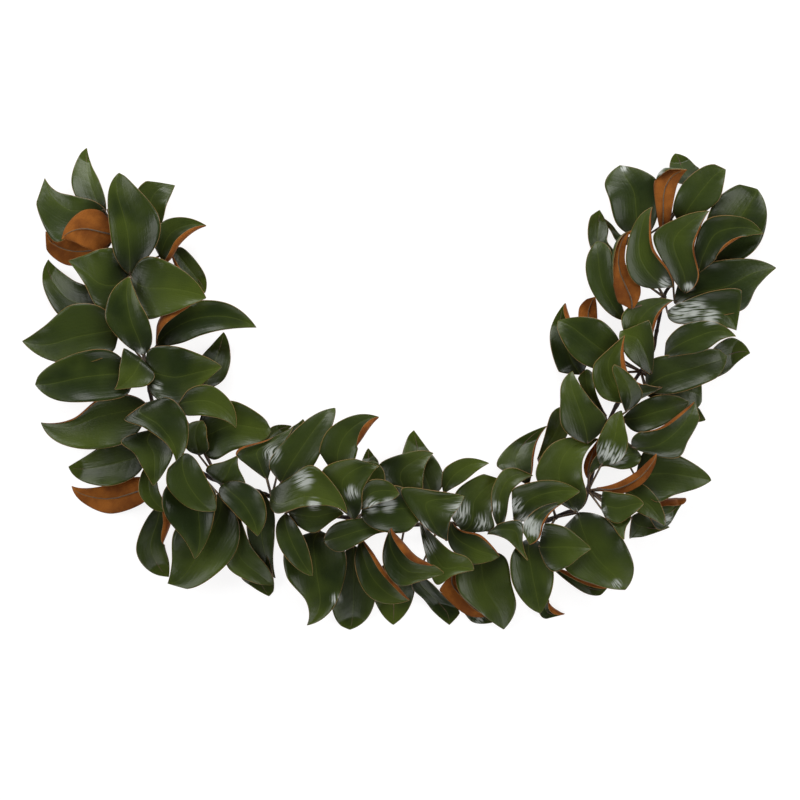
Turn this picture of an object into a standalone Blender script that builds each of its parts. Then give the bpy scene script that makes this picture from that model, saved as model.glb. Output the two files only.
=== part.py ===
"""A magnolia leaf garland, laid down in a swag: one woody stem bent to a U, and leafy sprays along it."""

import math

import bpy
import bmesh
import numpy as np
from mathutils import Vector

# Places in the lists below are in millimetres, seen from above, x to the right and y away from the viewer.
MM = 0.001

# The stem
STEM_RADIUS = 4.5
STEM_END_RADIUS = 2.6
STEM_HEIGHT = 15.0
STEM_POINT_SPACING = 34.0
STEM_BEVEL_RESOLUTION = 2
STEM_ROUTE = [
    (-470, 291), (-466, 278), (-455, 245), (-432, 188), (-418, 110), (-412, 57), (-400, -12),
    (-385, -60), (-350, -108), (-300, -143), (-225, -165), (-150, -195), (-85, -205), (0, -216),
    (85, -215), (160, -226), (225, -213), (265, -198), (293, -185), (308, -138), (325, -80),
    (345, -30), (372, 8), (405, 60), (412, 92), (425, 152), (438, 176), (432, 215), (428, 252),
    (445, 300),
]

# The twigs that carry the leaves lie along the top of the stem
TWIG_RADIUS = 2.4
TWIG_LENGTH = 30.0
TWIG_SPACING = 42.0
TWIG_SIDES = 5
TWIG_THINNING = 0.7
BUD_RADIUS = 4.2
STALK_RADIUS = 1.7
STALK_SIDES = 3
STALK_SWELLING = 1.2
STALK_SINK = 0.12
MESH_GAP = 0.3

# The leaves
BLADE = 1.0
STALK_END_WIDTH = 5.0
END_PACE = 6
EDGE_PACE = 0.3
# The place of the tip in an outline
TIP = 4
ROW_PLACES = (0.0, 0.12, 0.34, 0.6, 0.85, 1.0)
FEW_ROW_PLACES = (0.0, 0.16, 0.5, 0.84, 1.0)
LOWEST_LONG_LAYER = 4
COLUMN_PLACES = (-1.0, -0.5, 0.0, 0.5, 1.0)
FEW_COLUMN_PLACES = (-1.0, 0.0, 1.0)
LOWEST_FULL_LAYER = 6
# A rolled edge: where its columns lie, and how far over the blade and up each is turned
ROLLED_COLUMNS = (-1.0, 0.0, 0.95, 1.0, 1.0)
ROLLED_BACK = (0.0, 0.0, 0.0, 0.2, 0.95)
ROLLED_UP = (0.0, 0.0, 0.1, 0.5, 0.75)
LEAST_ROLL = 6
ROLL_AT_ENDS = 2.6
TIP_WIDTH = 1.6
BASE_HEIGHTS = (0, 20, 24, 30, 36, 42, 48)
TIP_HEIGHTS = (0, -24, -16, 17, 36, 52, 63)
CUP = 0.2
RUST_CUP = -0.16
ARCH = 0.07
RIPPLE = 0.07
RIPPLE_PACE = 9.0
RIPPLE_OFFSET = 2.0
FLAT_BELOW = 0.5

# How leaves lie on each other
CELL = 3.0
CLEARANCE = 3.0
OWN_JOIN = 0.2
EMPTY = -1000.0
HALF_SPAN = (640.0, 420.0)
FINE_STEP = 2.0
TWIG_STEP = 6
SAMPLES_ALONG = 60
SAMPLES_ACROSS = 33
STALK_SAMPLES = 24
FREE_STALK = 0.3
TIP_SHARE = 0.97
MOST_RISE = 90
TIP_COST = 0.6

GREEN = (0.052, 0.095, 0.021, 1.0)
BARK = (0.030, 0.018, 0.012, 1.0)


def through(points, t):
    """A smooth curve through the points, at the shares t of the way along it."""
    points = np.array(points, float)
    first = 3 * points[0] - 3 * points[1] + points[2]
    last = 3 * points[-1] - 3 * points[-2] + points[-3]
    ends = np.array([first, *points, last])
    place = np.clip(t, 0, 1) * (len(points) - 1)
    k = np.minimum(place.astype(int), len(points) - 2)
    u = (place - k)[..., None]
    before, start, end, after = (ends[k + n] for n in range(4))
    bend = (2 * before - 5 * start + 4 * end - after) * u * u
    turn = (3 * start - before - 3 * end + after) * u ** 3
    return 0.5 * (2 * start + (end - before) * u + bend + turn)


class Leaf:
    """One leaf: its outline seen from above, and the layer it lies in, 1 lowest and 6 highest.

    The rib lies between the right edge, 0, and the left edge, 1. A rolled edge is turned over by
    rolled millimetres, on one side, between the shares of the length in turned.
    """

    def __init__(self, outline, layer, roll=0, rust=False, rolled=0, side=1, turned=(0, 1), rib=0.5):
        self.outline = np.array(outline, float)
        self.base = self.outline[0]
        self.tip = self.outline[TIP]
        self.layer = layer
        self.roll = roll
        self.rust = rust
        self.rolled = rolled
        self.side = side
        self.turned = turned
        self.rib = rib
        self.length = float(np.linalg.norm(self.tip - self.base))
        self.along = (self.tip - self.base) / self.length
        self.left = np.array((-self.along[1], self.along[0]))
        self.low = BASE_HEIGHTS[layer]
        self.high = TIP_HEIGHTS[layer]
        self.root = None

    def edges(self, t):
        """The right and the left edge, in plan, with a least width at both ends."""
        t = np.asarray(t, float)
        left = through(self.outline[:TIP + 1], t)
        right = through(self.outline[[0, *range(len(self.outline) - 1, TIP - 1, -1)]], t)
        left, right = (self.kept_ahead(edge, t) for edge in (left, right))
        least = 0.5 * (STALK_END_WIDTH * (1 - t) ** END_PACE + TIP_WIDTH * t ** END_PACE)
        return right - least[..., None] * self.left, left + least[..., None] * self.left

    def kept_ahead(self, edge, t):
        """The edge, moved where it would lie behind the base or beyond the tip."""
        ahead = (edge - self.base) @ self.along
        least = EDGE_PACE * t * self.length
        most = (1 - EDGE_PACE * (1 - t)) * self.length
        return edge + (np.clip(ahead, least, most) - ahead)[..., None] * self.along

    def rolled_width(self, t):
        """How wide the rolled edge is, at the shares t of the length."""
        start, end = self.turned
        return self.rolled * np.sin(np.pi * np.clip((t - start) / (end - start), 0, 1)) ** 0.5

    def halves(self, t, s):
        """The rib, and what leads from it to the edge on the side of s, in plan."""
        right, left = self.edges(t)
        middle = right + (left - right) * self.rib
        return middle, np.where((s > 0)[..., None], left, right) - middle

    def surface(self, t, s):
        """Points of the blade, t from base to tip and s from the right edge, -1, to the left edge, 1."""
        middle, out = self.halves(t, s)
        h = np.linalg.norm(out, axis=-1)
        plan = middle + np.abs(s)[..., None] * out
        bow = ARCH * self.length * 4 * t * (1 - t)
        cup = RUST_CUP if self.rust else CUP
        across = h * (s * math.tan(math.radians(self.roll)) + cup * s * s)
        ripple = RIPPLE * h * np.abs(s) ** 3 * np.sin(RIPPLE_PACE * t + self.base[0] + RIPPLE_OFFSET * s)
        height = self.low + (self.high - self.low) * t + bow + across + ripple
        height = np.maximum(height, FLAT_BELOW)
        return np.concatenate([plan, height[..., None]], axis=-1)

    def stalk_end(self):
        """Where the stalk ends, inside the blade."""
        return self.surface(np.array(STALK_SINK), np.array(0.0))

    def rows(self):
        return np.array(ROW_PLACES if self.layer >= LOWEST_LONG_LAYER else FEW_ROW_PLACES)

    def rolls_over(self):
        """Whether the coarse blade has the rolled edge too."""
        return self.rolled >= LEAST_ROLL and not self.rust

    def grid(self):
        """The points of the coarse blade, rows from base to tip and columns from right to left."""
        rows = self.rows()
        if not self.rolls_over():
            places = COLUMN_PLACES if self.layer >= LOWEST_FULL_LAYER else FEW_COLUMN_PLACES
            s = np.repeat(np.array(places)[None], len(rows), axis=0)
            return self.surface(np.repeat(rows[:, None], len(places), axis=1), s)
        rolled = np.maximum(self.rolled_width(rows), ROLL_AT_ENDS)[:, None]
        s = self.side * np.repeat(np.array(ROLLED_COLUMNS)[None], len(rows), axis=0)
        points = self.surface(np.repeat(rows[:, None], len(ROLLED_COLUMNS), axis=1), s)
        points[..., :2] -= (self.side * rolled * ROLLED_BACK)[..., None] * self.left
        points[..., 2] += rolled * ROLLED_UP
        return points if self.side > 0 else points[:, ::-1]


LEFT, RIGHT = 1, -1
# An outline holds the base and three points up the left edge, then the tip and three points down the right
SPRAYS = [
    [
        Leaf([(-474, 281), (-510, 297), (-528, 333), (-520, 371),
              (-505, 390), (-497, 363), (-483, 336), (-473, 305)], 2, rib=0.35),
        Leaf([(-474, 288), (-520, 252), (-555, 239), (-583, 298),
              (-571, 340), (-551, 319), (-522, 311), (-492, 303)], 3, rib=0.3),
        Leaf([(-458, 248), (-482, 222), (-504, 228), (-524, 238),
              (-541, 241), (-530, 268), (-506, 288), (-476, 284)], 4, rust=True),
        Leaf([(-466, 232), (-500, 206), (-536, 201), (-568, 224),
              (-571, 255), (-553, 250), (-522, 246), (-490, 242)], 2, rust=True),
    ],
    [
        Leaf([(-432, 186), (-454, 212), (-463, 256), (-466, 314),
              (-449, 347), (-425, 328), (-386, 280), (-388, 234)], 5, rib=0.67),
        Leaf([(-396, 240), (-418, 272), (-422, 318), (-394, 340),
              (-362, 329), (-366, 316), (-374, 296), (-381, 270)], 3),
        Leaf([(-380, 205), (-396, 232), (-382, 268), (-348, 277),
              (-311, 264), (-334, 252), (-354, 233), (-368, 210)], 3, rolled=12, side=RIGHT),
        Leaf([(-366, 226), (-349, 228), (-328, 208), (-313, 182),
              (-314, 157), (-330, 163), (-348, 180), (-362, 203)], 2, rolled=8, side=RIGHT),
        Leaf([(-434, 184), (-460, 132), (-485, 134), (-506, 172),
              (-531, 207), (-505, 216), (-475, 226), (-450, 222)], 4, rib=0.6),
        Leaf([(-431, 182), (-408, 211), (-373, 206), (-333, 180),
              (-310, 147), (-338, 134), (-376, 119), (-410, 118)], 5),
        Leaf([(-478, 132), (-514, 112), (-549, 121), (-575, 170),
              (-567, 210), (-551, 195), (-524, 176), (-498, 163)], 2),
    ],
    [
        Leaf([(-411, 56), (-444, 78), (-469, 113), (-461, 154),
              (-432, 181), (-418, 146), (-400, 110), (-396, 77)], 6, rib=0.42),
        Leaf([(-450, 97), (-461, 60), (-505, 43), (-562, 48),
              (-605, 78), (-570, 101), (-527, 135), (-480, 133)], 4, rib=0.54),
        Leaf([(-426, 18), (-441, -10), (-496, -19), (-549, -16),
              (-583, 9), (-563, 36), (-512, 60), (-459, 61)], 5),
        Leaf([(-391, 71), (-379, 118), (-331, 142), (-274, 138),
              (-231, 101), (-280, 97), (-317, 88), (-352, 75)], 3, rolled=26, side=LEFT, turned=(0, 0.5)),
        Leaf([(-316, 2), (-328, 24), (-321, 51), (-303, 73),
              (-284, 93), (-275, 72), (-273, 43), (-285, 15)], 2),
        Leaf([(-409, 27), (-401, 64), (-361, 70), (-315, 55),
              (-285, 37), (-321, 4), (-358, -29), (-397, -6)], 5),
        Leaf([(-413, 50), (-392, 24), (-404, 7), (-430, 3),
              (-455, 1), (-449, 17), (-446, 44), (-437, 69)], 6),
    ],
    [
        Leaf([(-404, -26), (-430, -78), (-489, -95), (-546, -85),
              (-577, -53), (-525, -46), (-481, -13), (-436, -6)], 3, rolled=4, side=RIGHT, rib=0.37),
        Leaf([(-407, -104), (-424, -137), (-466, -154), (-511, -147),
              (-534, -124), (-507, -107), (-474, -88), (-436, -84)], 2),
        Leaf([(-396, -158), (-418, -184), (-467, -199), (-510, -182),
              (-529, -155), (-502, -158), (-461, -151), (-420, -140)], 1, rust=True),
        Leaf([(-404, -20), (-366, -14), (-340, -44), (-339, -86),
              (-357, -114), (-373, -85), (-408, -60), (-440, -45)], 6, rib=0.33),
        Leaf([(-388, -62), (-364, -78), (-363, -104), (-377, -132),
              (-394, -153), (-408, -130), (-424, -102), (-444, -80)], 5),
        Leaf([(-402, -118), (-391, -138), (-385, -163), (-375, -182),
              (-371, -194), (-397, -190), (-417, -166), (-415, -137)], 4),
    ],
    [
        Leaf([(-344, -102), (-326, -110), (-308, -140), (-294, -172),
              (-295, -193), (-337, -187), (-369, -156), (-368, -123)], 6),
        Leaf([(-338, -128), (-297, -158), (-296, -196), (-307, -238),
              (-328, -270), (-345, -238), (-374, -201), (-376, -160)], 5, rib=0.67),
        Leaf([(-384, -184), (-370, -208), (-378, -246), (-372, -276),
              (-373, -301), (-407, -289), (-424, -256), (-409, -211)],
             2, rolled=16, side=LEFT, turned=(0, 0.52)),
        Leaf([(-290, -168), (-258, -216), (-269, -269), (-326, -315),
              (-373, -311), (-366, -279), (-361, -226), (-322, -184)], 3),
    ],
    [
        Leaf([(-354, -24), (-332, 3), (-298, 6), (-268, -22),
              (-262, -60), (-283, -47), (-313, -41), (-341, -40)], 5),
        Leaf([(-322, -78), (-312, -32), (-270, -17), (-226, -38),
              (-207, -63), (-224, -85), (-265, -96), (-300, -111)], 4),
        Leaf([(-322, -104), (-341, -94), (-346, -74), (-338, -55),
              (-315, -49), (-309, -60), (-308, -76), (-306, -94)], 5),
    ],
    [
        Leaf([(-288, -152), (-308, -141), (-307, -122), (-281, -114),
              (-258, -104), (-258, -123), (-247, -151), (-268, -160)], 4),
        Leaf([(-283, -150), (-252, -147), (-222, -166), (-213, -200),
              (-227, -233), (-248, -213), (-270, -190), (-288, -168)], 6, rib=0.4),
        Leaf([(-260, -198), (-250, -222), (-237, -253), (-211, -287),
              (-203, -313), (-238, -308), (-276, -284), (-280, -238)], 2),
        Leaf([(-238, -236), (-218, -258), (-206, -290), (-203, -319),
              (-211, -332), (-238, -317), (-257, -299), (-256, -264)], 1),
        Leaf([(-226, -160), (-203, -193), (-201, -232), (-204, -272),
              (-201, -303), (-222, -280), (-243, -240), (-244, -195)], 1),
    ],
    [
        Leaf([(-213, -143), (-254, -138), (-262, -98), (-213, -80),
              (-172, -60), (-180, -76), (-192, -95), (-203, -117)],
             4, rolled=5, side=LEFT, turned=(0.35, 0.8)),
        Leaf([(-225, -92), (-222, -78), (-210, -62), (-196, -56),
              (-175, -58), (-185, -68), (-198, -78), (-210, -90)], 2),
        Leaf([(-188, -98), (-190, -80), (-178, -63), (-164, -53),
              (-156, -47), (-151, -56), (-155, -72), (-168, -90)], 2),
        Leaf([(-190, -148), (-208, -116), (-180, -77), (-141, -42),
              (-104, -29), (-106, -50), (-121, -88), (-146, -130)], 4),
        Leaf([(-106, -132), (-129, -112), (-117, -67), (-76, -41),
              (-34, -43), (-52, -62), (-65, -88), (-76, -117)], 5, rolled=13, side=RIGHT, turned=(0.45, 1)),
    ],
    [
        Leaf([(-207, -163), (-176, -140), (-139, -120), (-101, -156),
              (-84, -195), (-113, -184), (-155, -186), (-198, -196)], 6, rib=0.25),
        Leaf([(-178, -196), (-160, -182), (-135, -177), (-108, -184),
              (-90, -198), (-108, -209), (-137, -228), (-163, -217)], 5),
        Leaf([(-184, -198), (-167, -213), (-151, -241), (-142, -271),
              (-140, -297), (-167, -283), (-192, -252), (-198, -220)], 5),
        Leaf([(-128, -226), (-96, -240), (-86, -285), (-107, -349),
              (-149, -378), (-150, -340), (-182, -297), (-181, -250)], 3),
    ],
    [
        Leaf([(-121, -241), (-103, -213), (-60, -204), (-20, -206),
              (-8, -228), (-36, -229), (-62, -243), (-96, -258)], 5),
        Leaf([(-75, -250), (-46, -272), (-37, -315), (-49, -362),
              (-81, -386), (-104, -368), (-112, -325), (-102, -280)], 2),
        Leaf([(-62, -240), (-46, -257), (-27, -286), (0, -318),
              (15, -337), (-28, -341), (-58, -320), (-72, -276)], 4, rolled=9, side=LEFT),
        Leaf([(-55, -165), (-66, -150), (-66, -130), (-59, -108),
              (-51, -94), (-43, -104), (-34, -118), (-38, -145)], 2),
        Leaf([(-52, -195), (-72, -170), (-74, -140), (-60, -116),
              (-42, -113), (-27, -128), (-24, -150), (-32, -178)], 4),
        Leaf([(-62, -198), (-46, -168), (-8, -152), (34, -172),
              (69, -193), (38, -203), (8, -227), (-38, -222)], 5),
        Leaf([(-68, -190), (-66, -166), (-48, -144), (-20, -145),
              (-1, -165), (-13, -175), (-35, -181), (-54, -188)], 5),
        Leaf([(-75, -206), (-104, -186), (-124, -130), (-80, -110),
              (-34, -121), (-46, -135), (-59, -160), (-62, -190)], 5),
    ],
    [
        Leaf([(-2, -268), (18, -288), (24, -320), (13, -354),
              (-11, -378), (-33, -355), (-45, -320), (-30, -285)], 1),
        Leaf([(-16, -222), (2, -241), (24, -264), (54, -279),
              (70, -293), (34, -304), (-3, -311), (-27, -274)], 5, rolled=16, side=LEFT, turned=(0, 0.75)),
        Leaf([(2, -172), (-28, -152), (-32, -118), (18, -99),
              (53, -101), (41, -121), (37, -143), (33, -166)], 3),
        Leaf([(52, -170), (20, -152), (3, -116), (10, -82),
              (22, -65), (44, -94), (64, -121), (70, -148)], 2),
    ],
    [
        Leaf([(33, -213), (52, -231), (80, -256), (108, -268),
              (118, -288), (86, -296), (57, -310), (40, -258)], 4),
        Leaf([(70, -164), (67, -145), (73, -124), (104, -109),
              (142, -117), (124, -129), (103, -146), (84, -157)], 4),
        Leaf([(100, -226), (83, -200), (92, -160), (136, -134),
              (160, -143), (152, -168), (147, -196), (148, -222)], 3),
        Leaf([(82, -212), (100, -225), (128, -231), (149, -251),
              (159, -267), (142, -275), (108, -277), (79, -247)], 3, rolled=4, side=LEFT),
        Leaf([(74, -240), (30, -208), (2, -158), (58, -161),
              (102, -169), (96, -184), (82, -203), (77, -222)], 5),
        Leaf([(28, -298), (50, -310), (74, -335), (96, -358),
              (80, -378), (55, -358), (38, -337), (20, -318)], 1),
    ],
    [
        Leaf([(86, -292), (102, -304), (120, -325), (135, -346),
              (143, -362), (112, -363), (83, -343), (61, -313)], 2, rust=True),
        Leaf([(131, -262), (168, -268), (179, -311), (186, -350),
              (167, -385), (132, -360), (95, -324), (93, -285)], 2),
        Leaf([(90, -312), (120, -318), (145, -340), (156, -362),
              (150, -374), (120, -375), (104, -360), (88, -335)], 1),
    ],
    [
        Leaf([(205, -152), (168, -138), (156, -115), (185, -82),
              (236, -58), (222, -82), (216, -105), (213, -132)], 2, rolled=4, side=RIGHT),
        Leaf([(182, -206), (170, -180), (185, -155), (240, -144),
              (287, -162), (262, -179), (238, -190), (205, -208)], 5),
        Leaf([(207, -238), (232, -251), (245, -287), (241, -324),
              (224, -357), (197, -338), (178, -303), (179, -262)], 5),
        Leaf([(141, -229), (161, -213), (194, -210), (196, -245),
              (204, -272), (189, -257), (173, -241), (157, -233)], 5),
        Leaf([(258, -180), (241, -195), (229, -213), (222, -236),
              (206, -246), (197, -235), (198, -210), (222, -188)], 6, rolled=4, side=LEFT),
        Leaf([(246, -285), (276, -296), (300, -306), (318, -313),
              (334, -319), (320, -331), (296, -326), (266, -305)], 1, rolled=12, side=LEFT),
        Leaf([(228, -300), (236, -325), (243, -347), (254, -357),
              (265, -361), (248, -368), (228, -365), (218, -335)],
             1, rolled=12, side=LEFT, turned=(0.4, 1)),
        Leaf([(160, -222), (148, -195), (148, -158), (170, -126),
              (213, -137), (190, -150), (176, -168), (170, -200)], 3),
    ],
    [
        Leaf([(285, -197), (328, -205), (357, -240), (374, -284),
              (361, -320), (315, -312), (265, -287), (250, -225)], 4),
        Leaf([(222, -112), (232, -75), (240, -45), (249, -32),
              (262, -27), (275, -50), (265, -80), (245, -100)], 2),
        Leaf([(222, -250), (226, -215), (262, -218), (288, -237),
              (305, -254), (288, -266), (265, -283), (240, -287)], 5),
    ],
    [
        Leaf([(322, -190), (322, -163), (345, -164), (372, -168),
              (388, -181), (374, -196), (350, -212), (332, -206)], 6),
        Leaf([(330, -184), (345, -195), (368, -203), (360, -220),
              (357, -238), (348, -230), (338, -215), (326, -200)], 5),
        Leaf([(372, -205), (392, -196), (412, -206), (424, -215),
              (434, -221), (406, -232), (385, -237), (358, -234)], 1),
        Leaf([(398, -200), (418, -179), (440, -176), (452, -176),
              (461, -175), (450, -190), (434, -216), (415, -224)], 1, rolled=17, side=LEFT),
        Leaf([(362, -160), (385, -150), (408, -168), (422, -195),
              (424, -217), (405, -207), (388, -199), (370, -188)], 4),
        Leaf([(316, -158), (345, -149), (375, -132), (398, -112),
              (409, -102), (405, -124), (388, -149), (355, -165)], 5, rust=True),
        Leaf([(322, -120), (314, -92), (322, -65), (336, -43),
              (354, -33), (360, -60), (364, -85), (352, -112)], 5),
        Leaf([(302, -142), (295, -125), (299, -106), (310, -90),
              (319, -79), (317, -94), (314, -110), (309, -128)], 3, rust=True),
        Leaf([(303, -137), (312, -108), (335, -93), (362, -84),
              (386, -105), (378, -121), (355, -127), (325, -122)], 4),
        Leaf([(282, -195), (235, -165), (217, -130), (248, -83),
              (318, -78), (295, -105), (291, -135), (298, -170)], 4),
    ],
    [
        Leaf([(300, -85), (260, -60), (256, -15), (259, 12),
              (276, 30), (288, 8), (308, -20), (330, -50)], 4),
        Leaf([(378, -140), (398, -92), (440, -102), (482, -125),
              (500, -145), (476, -158), (440, -168), (408, -178)], 3),
        Leaf([(358, -46), (380, -23), (410, -9), (440, -9),
              (464, -20), (440, -45), (408, -62), (378, -67)], 3),
        Leaf([(372, -92), (378, -70), (418, -58), (452, -34),
              (472, -19), (479, -45), (461, -80), (440, -108)], 4, rolled=6, side=LEFT, turned=(0.3, 1)),
        Leaf([(450, -35), (468, -26), (480, -28), (487, -38),
              (492, -48), (484, -51), (472, -52), (458, -45)], 1),
        Leaf([(362, -34), (352, -15), (345, 8), (338, 30),
              (341, 40), (362, 28), (380, 8), (385, -12)], 6),
        Leaf([(330, -42), (300, -10), (286, 15), (284, 27),
              (298, 33), (309, 25), (313, 0), (322, -25)], 3),
    ],
    [
        Leaf([(396, 0), (402, 47), (450, 58), (503, 66),
              (525, 54), (515, 28), (496, 14), (440, -5)], 3),
        Leaf([(395, -5), (430, 22), (470, 26), (495, 14),
              (486, -18), (474, -30), (450, -30), (420, -22)], 2),
        Leaf([(490, 40), (505, 68), (530, 84), (550, 78),
              (564, 60), (545, 46), (525, 28), (500, 20)], 1),
        Leaf([(398, 40), (362, 85), (356, 122), (392, 145),
              (438, 144), (414, 120), (405, 88), (403, 55)], 4, rolled=6, side=RIGHT, turned=(0.3, 1)),
        Leaf([(402, 26), (378, 40), (362, 54), (351, 76),
              (352, 94), (368, 107), (394, 114), (405, 80)], 5),
        Leaf([(418, 3), (370, -20), (320, -10), (309, 40),
              (358, 87), (357, 52), (366, 22), (392, 9)], 5, rolled=12, side=RIGHT, turned=(0.25, 1)),
        Leaf([(424, 54), (428, 82), (455, 105), (500, 109),
              (536, 86), (512, 80), (485, 62), (455, 57)], 5),
        Leaf([(350, 45), (318, 33), (280, 50), (256, 86),
              (253, 111), (292, 117), (325, 109), (350, 80)], 4),
        Leaf([(290, 25), (262, 20), (244, 60), (243, 100),
              (266, 140), (273, 115), (290, 80), (300, 50)], 2, rolled=10, side=RIGHT, turned=(0.6, 1)),
        Leaf([(305, 80), (290, 100), (288, 130), (300, 146),
              (314, 150), (317, 135), (318, 115), (318, 95)], 1, rust=True),
    ],
    [
        Leaf([(370, 130), (350, 138), (338, 190), (345, 235),
              (370, 255), (362, 235), (361, 200), (384, 164)],
             4, rust=True, rolled=6, side=LEFT, turned=(0.4, 1)),
        Leaf([(362, 112), (330, 127), (304, 165), (298, 205),
              (315, 238), (337, 225), (343, 180), (354, 140)], 3),
        Leaf([(345, 205), (318, 208), (303, 240), (305, 275),
              (321, 290), (335, 262), (333, 240), (342, 225)], 2),
        Leaf([(375, 235), (350, 238), (338, 258), (326, 274),
              (320, 281), (340, 268), (355, 250), (370, 245)], 1),
        Leaf([(428, 125), (448, 139), (500, 158), (547, 156),
              (538, 96), (505, 103), (470, 104), (438, 108)], 4, rib=0.35),
    ],
    [
        Leaf([(478, 190), (470, 225), (490, 272), (545, 276),
              (581, 250), (545, 243), (520, 228), (500, 205)], 5, rolled=6, side=RIGHT, turned=(0.3, 0.8)),
        Leaf([(498, 206), (488, 255), (505, 303), (545, 330),
              (574, 323), (588, 285), (578, 238), (545, 208)], 3),
        Leaf([(456, 156), (430, 188), (404, 245), (445, 275),
              (493, 286), (480, 259), (470, 226), (478, 180)], 5, rolled=4, side=RIGHT),
        Leaf([(435, 165), (380, 168), (360, 205), (372, 262),
              (402, 292), (400, 262), (405, 225), (430, 190)], 6, rolled=6, side=RIGHT),
        Leaf([(440, 140), (458, 190), (500, 205), (560, 210),
              (603, 196), (572, 165), (548, 128), (490, 120)], 3),
    ],
    [
        Leaf([(470, 330), (442, 335), (434, 355), (436, 370),
              (443, 381), (462, 375), (474, 362), (481, 352)], 1),
        Leaf([(392, 245), (350, 262), (335, 305), (329, 335),
              (353, 361), (395, 349), (416, 325), (411, 275)], 3),
        Leaf([(420, 250), (411, 285), (407, 335), (428, 356),
              (458, 352), (444, 330), (437, 300), (431, 268)],
             4, rust=True, rolled=11, side=LEFT, turned=(0.5, 1)),
        Leaf([(450, 265), (437, 290), (452, 330), (490, 359),
              (521, 353), (517, 328), (509, 303), (480, 280)], 3),
    ],
]


def smooth_route(points, spacing):
    """A smooth curve through the points, in steps of about the spacing."""
    points = [np.array(point, float) for point in points]
    ends = [2 * points[0] - points[1], *points, 2 * points[-1] - points[-2]]
    route = []
    for before, start, end, after in zip(ends, ends[1:], ends[2:], ends[3:]):
        steps = max(1, round(np.linalg.norm(end - start) / spacing))
        for step in range(steps):
            u = step / steps
            bend = (2 * before - 5 * start + 4 * end - after) * u * u
            turn = (3 * start - before - 3 * end + after) * u ** 3
            route.append(0.5 * (2 * start + (end - before) * u + bend + turn))
    return np.array(route + [points[-1]])


def stem_radius(share):
    """The stem's radius at a share of its length: it thins towards both ends."""
    edge = abs(2 * share - 1)
    return STEM_RADIUS - (STEM_RADIUS - STEM_END_RADIUS) * edge ** 3


class HeightMap:
    """The top and the underside of what lies on the surface, on a grid of small cells."""

    def __init__(self):
        self.shape = tuple(int(2 * half / CELL) for half in HALF_SPAN)
        self.top = np.full(self.shape, EMPTY)
        self.under = np.full(self.shape, -EMPTY)

    def cells(self, plan):
        places = ((plan + np.array(HALF_SPAN)) / CELL).astype(int)
        return np.clip(places[:, 0], 1, self.shape[0] - 2), np.clip(places[:, 1], 1, self.shape[1] - 2)

    def add(self, points):
        i, j = self.cells(points[:, :2])
        for a in (-1, 0, 1):
            for b in (-1, 0, 1):
                np.maximum.at(self.top, (i + a, j + b), points[:, 2])
                np.minimum.at(self.under, (i + a, j + b), points[:, 2])


def between(grid, places, fine):
    """A grid refined along its first axis to the fine places, in straight lines."""
    index = np.clip(np.searchsorted(places, fine, side="right") - 1, 0, len(places) - 2)
    share = (fine - places[index]) / (places[index + 1] - places[index])
    return grid[index] + (grid[index + 1] - grid[index]) * share.reshape(-1, *[1] * (grid.ndim - 1))


def blade_samples(leaf):
    """Points spread over the coarse blade, and how far along it each one is."""
    rows = leaf.rows()
    grid = leaf.grid()
    columns = np.arange(grid.shape[1], dtype=float)
    t = np.linspace(0, 1, SAMPLES_ALONG)
    s = np.linspace(0, columns[-1], SAMPLES_ACROSS)
    fine = between(grid, rows, t)
    fine = between(fine.transpose(1, 0, 2), columns, s).transpose(1, 0, 2)
    return fine.reshape(-1, 3), np.repeat(t, len(s))


def stalk_samples(leaf):
    """Points along the leaf's stalk, and how far along it each one is."""
    u = np.linspace(0, 1, STALK_SAMPLES)
    return leaf.root + np.multiply.outer(u, leaf.stalk_end() - leaf.root), u


def least_lift(need, t, stalk_need, u):
    """The least rise of a leaf's base and tip that clears every point below it."""
    best = None
    inner = t < TIP_SHARE
    stalk = u > FREE_STALK
    for rise in range(MOST_RISE):
        if (need[~inner] > rise).any():
            continue
        base = np.max((need[inner] - rise * t[inner]) / (1 - t[inner]), initial=0.0)
        base = max(base, np.max(stalk_need[stalk] / u[stalk], initial=0.0))
        cost = base + TIP_COST * rise
        if best is None or cost < best[0]:
            best = (cost, base, rise)
    return best[1:]


def settle(sprays, stem):
    """Lays the leaves down from the lowest layer up, each as low as the ones under it allow."""
    maps = [HeightMap() for _ in sprays]
    stem_map = HeightMap()
    fine = smooth_route(stem, FINE_STEP)
    tops = np.full(len(fine), STEM_HEIGHT + STEM_RADIUS)
    for aside in (-STEM_RADIUS, 0.0, STEM_RADIUS):
        stem_map.add(np.column_stack([fine[:, 0] + aside, fine[:, 1], tops]))
        stem_map.add(np.column_stack([fine[:, 0], fine[:, 1] + aside, tops]))
    order = [(leaf.layer, k, leaf) for k, leaves in enumerate(sprays) for leaf in leaves]
    for number, leaves in enumerate(sprays):
        maps[number].add(leaves[0].twig)
    for _, number, leaf in sorted(order, key=lambda item: item[:2]):
        points, t = blade_samples(leaf)
        stalk, u = stalk_samples(leaf)
        need = np.zeros(len(t))
        stalk_need = np.zeros(len(u))
        for k, lower in enumerate([*maps, stem_map]):
            cells = lower.cells(points[:, :2])
            short = lower.top[cells] + CLEARANCE - points[:, 2]
            if k == number:
                short[t < OWN_JOIN] = 0
            need = np.maximum(need, short)
            if k == number:
                continue
            cells = lower.cells(stalk[:, :2])
            short = lower.top[cells] + CLEARANCE + STALK_RADIUS - stalk[:, 2]
            passes = lower.under[cells] > stalk[:, 2] + CLEARANCE + STALK_RADIUS
            stalk_need = np.maximum(stalk_need, np.where(passes, 0, short))
        base_rise, tip_rise = least_lift(need, t, stalk_need, u)
        leaf.low += base_rise
        leaf.high += tip_rise
        points, t = blade_samples(leaf)
        stalk, u = stalk_samples(leaf)
        maps[number].add(points)
        maps[number].add(stalk + np.array((0, 0, STALK_RADIUS)))
        maps[number].add(stalk - np.array((0, 0, STALK_RADIUS)))


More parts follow.
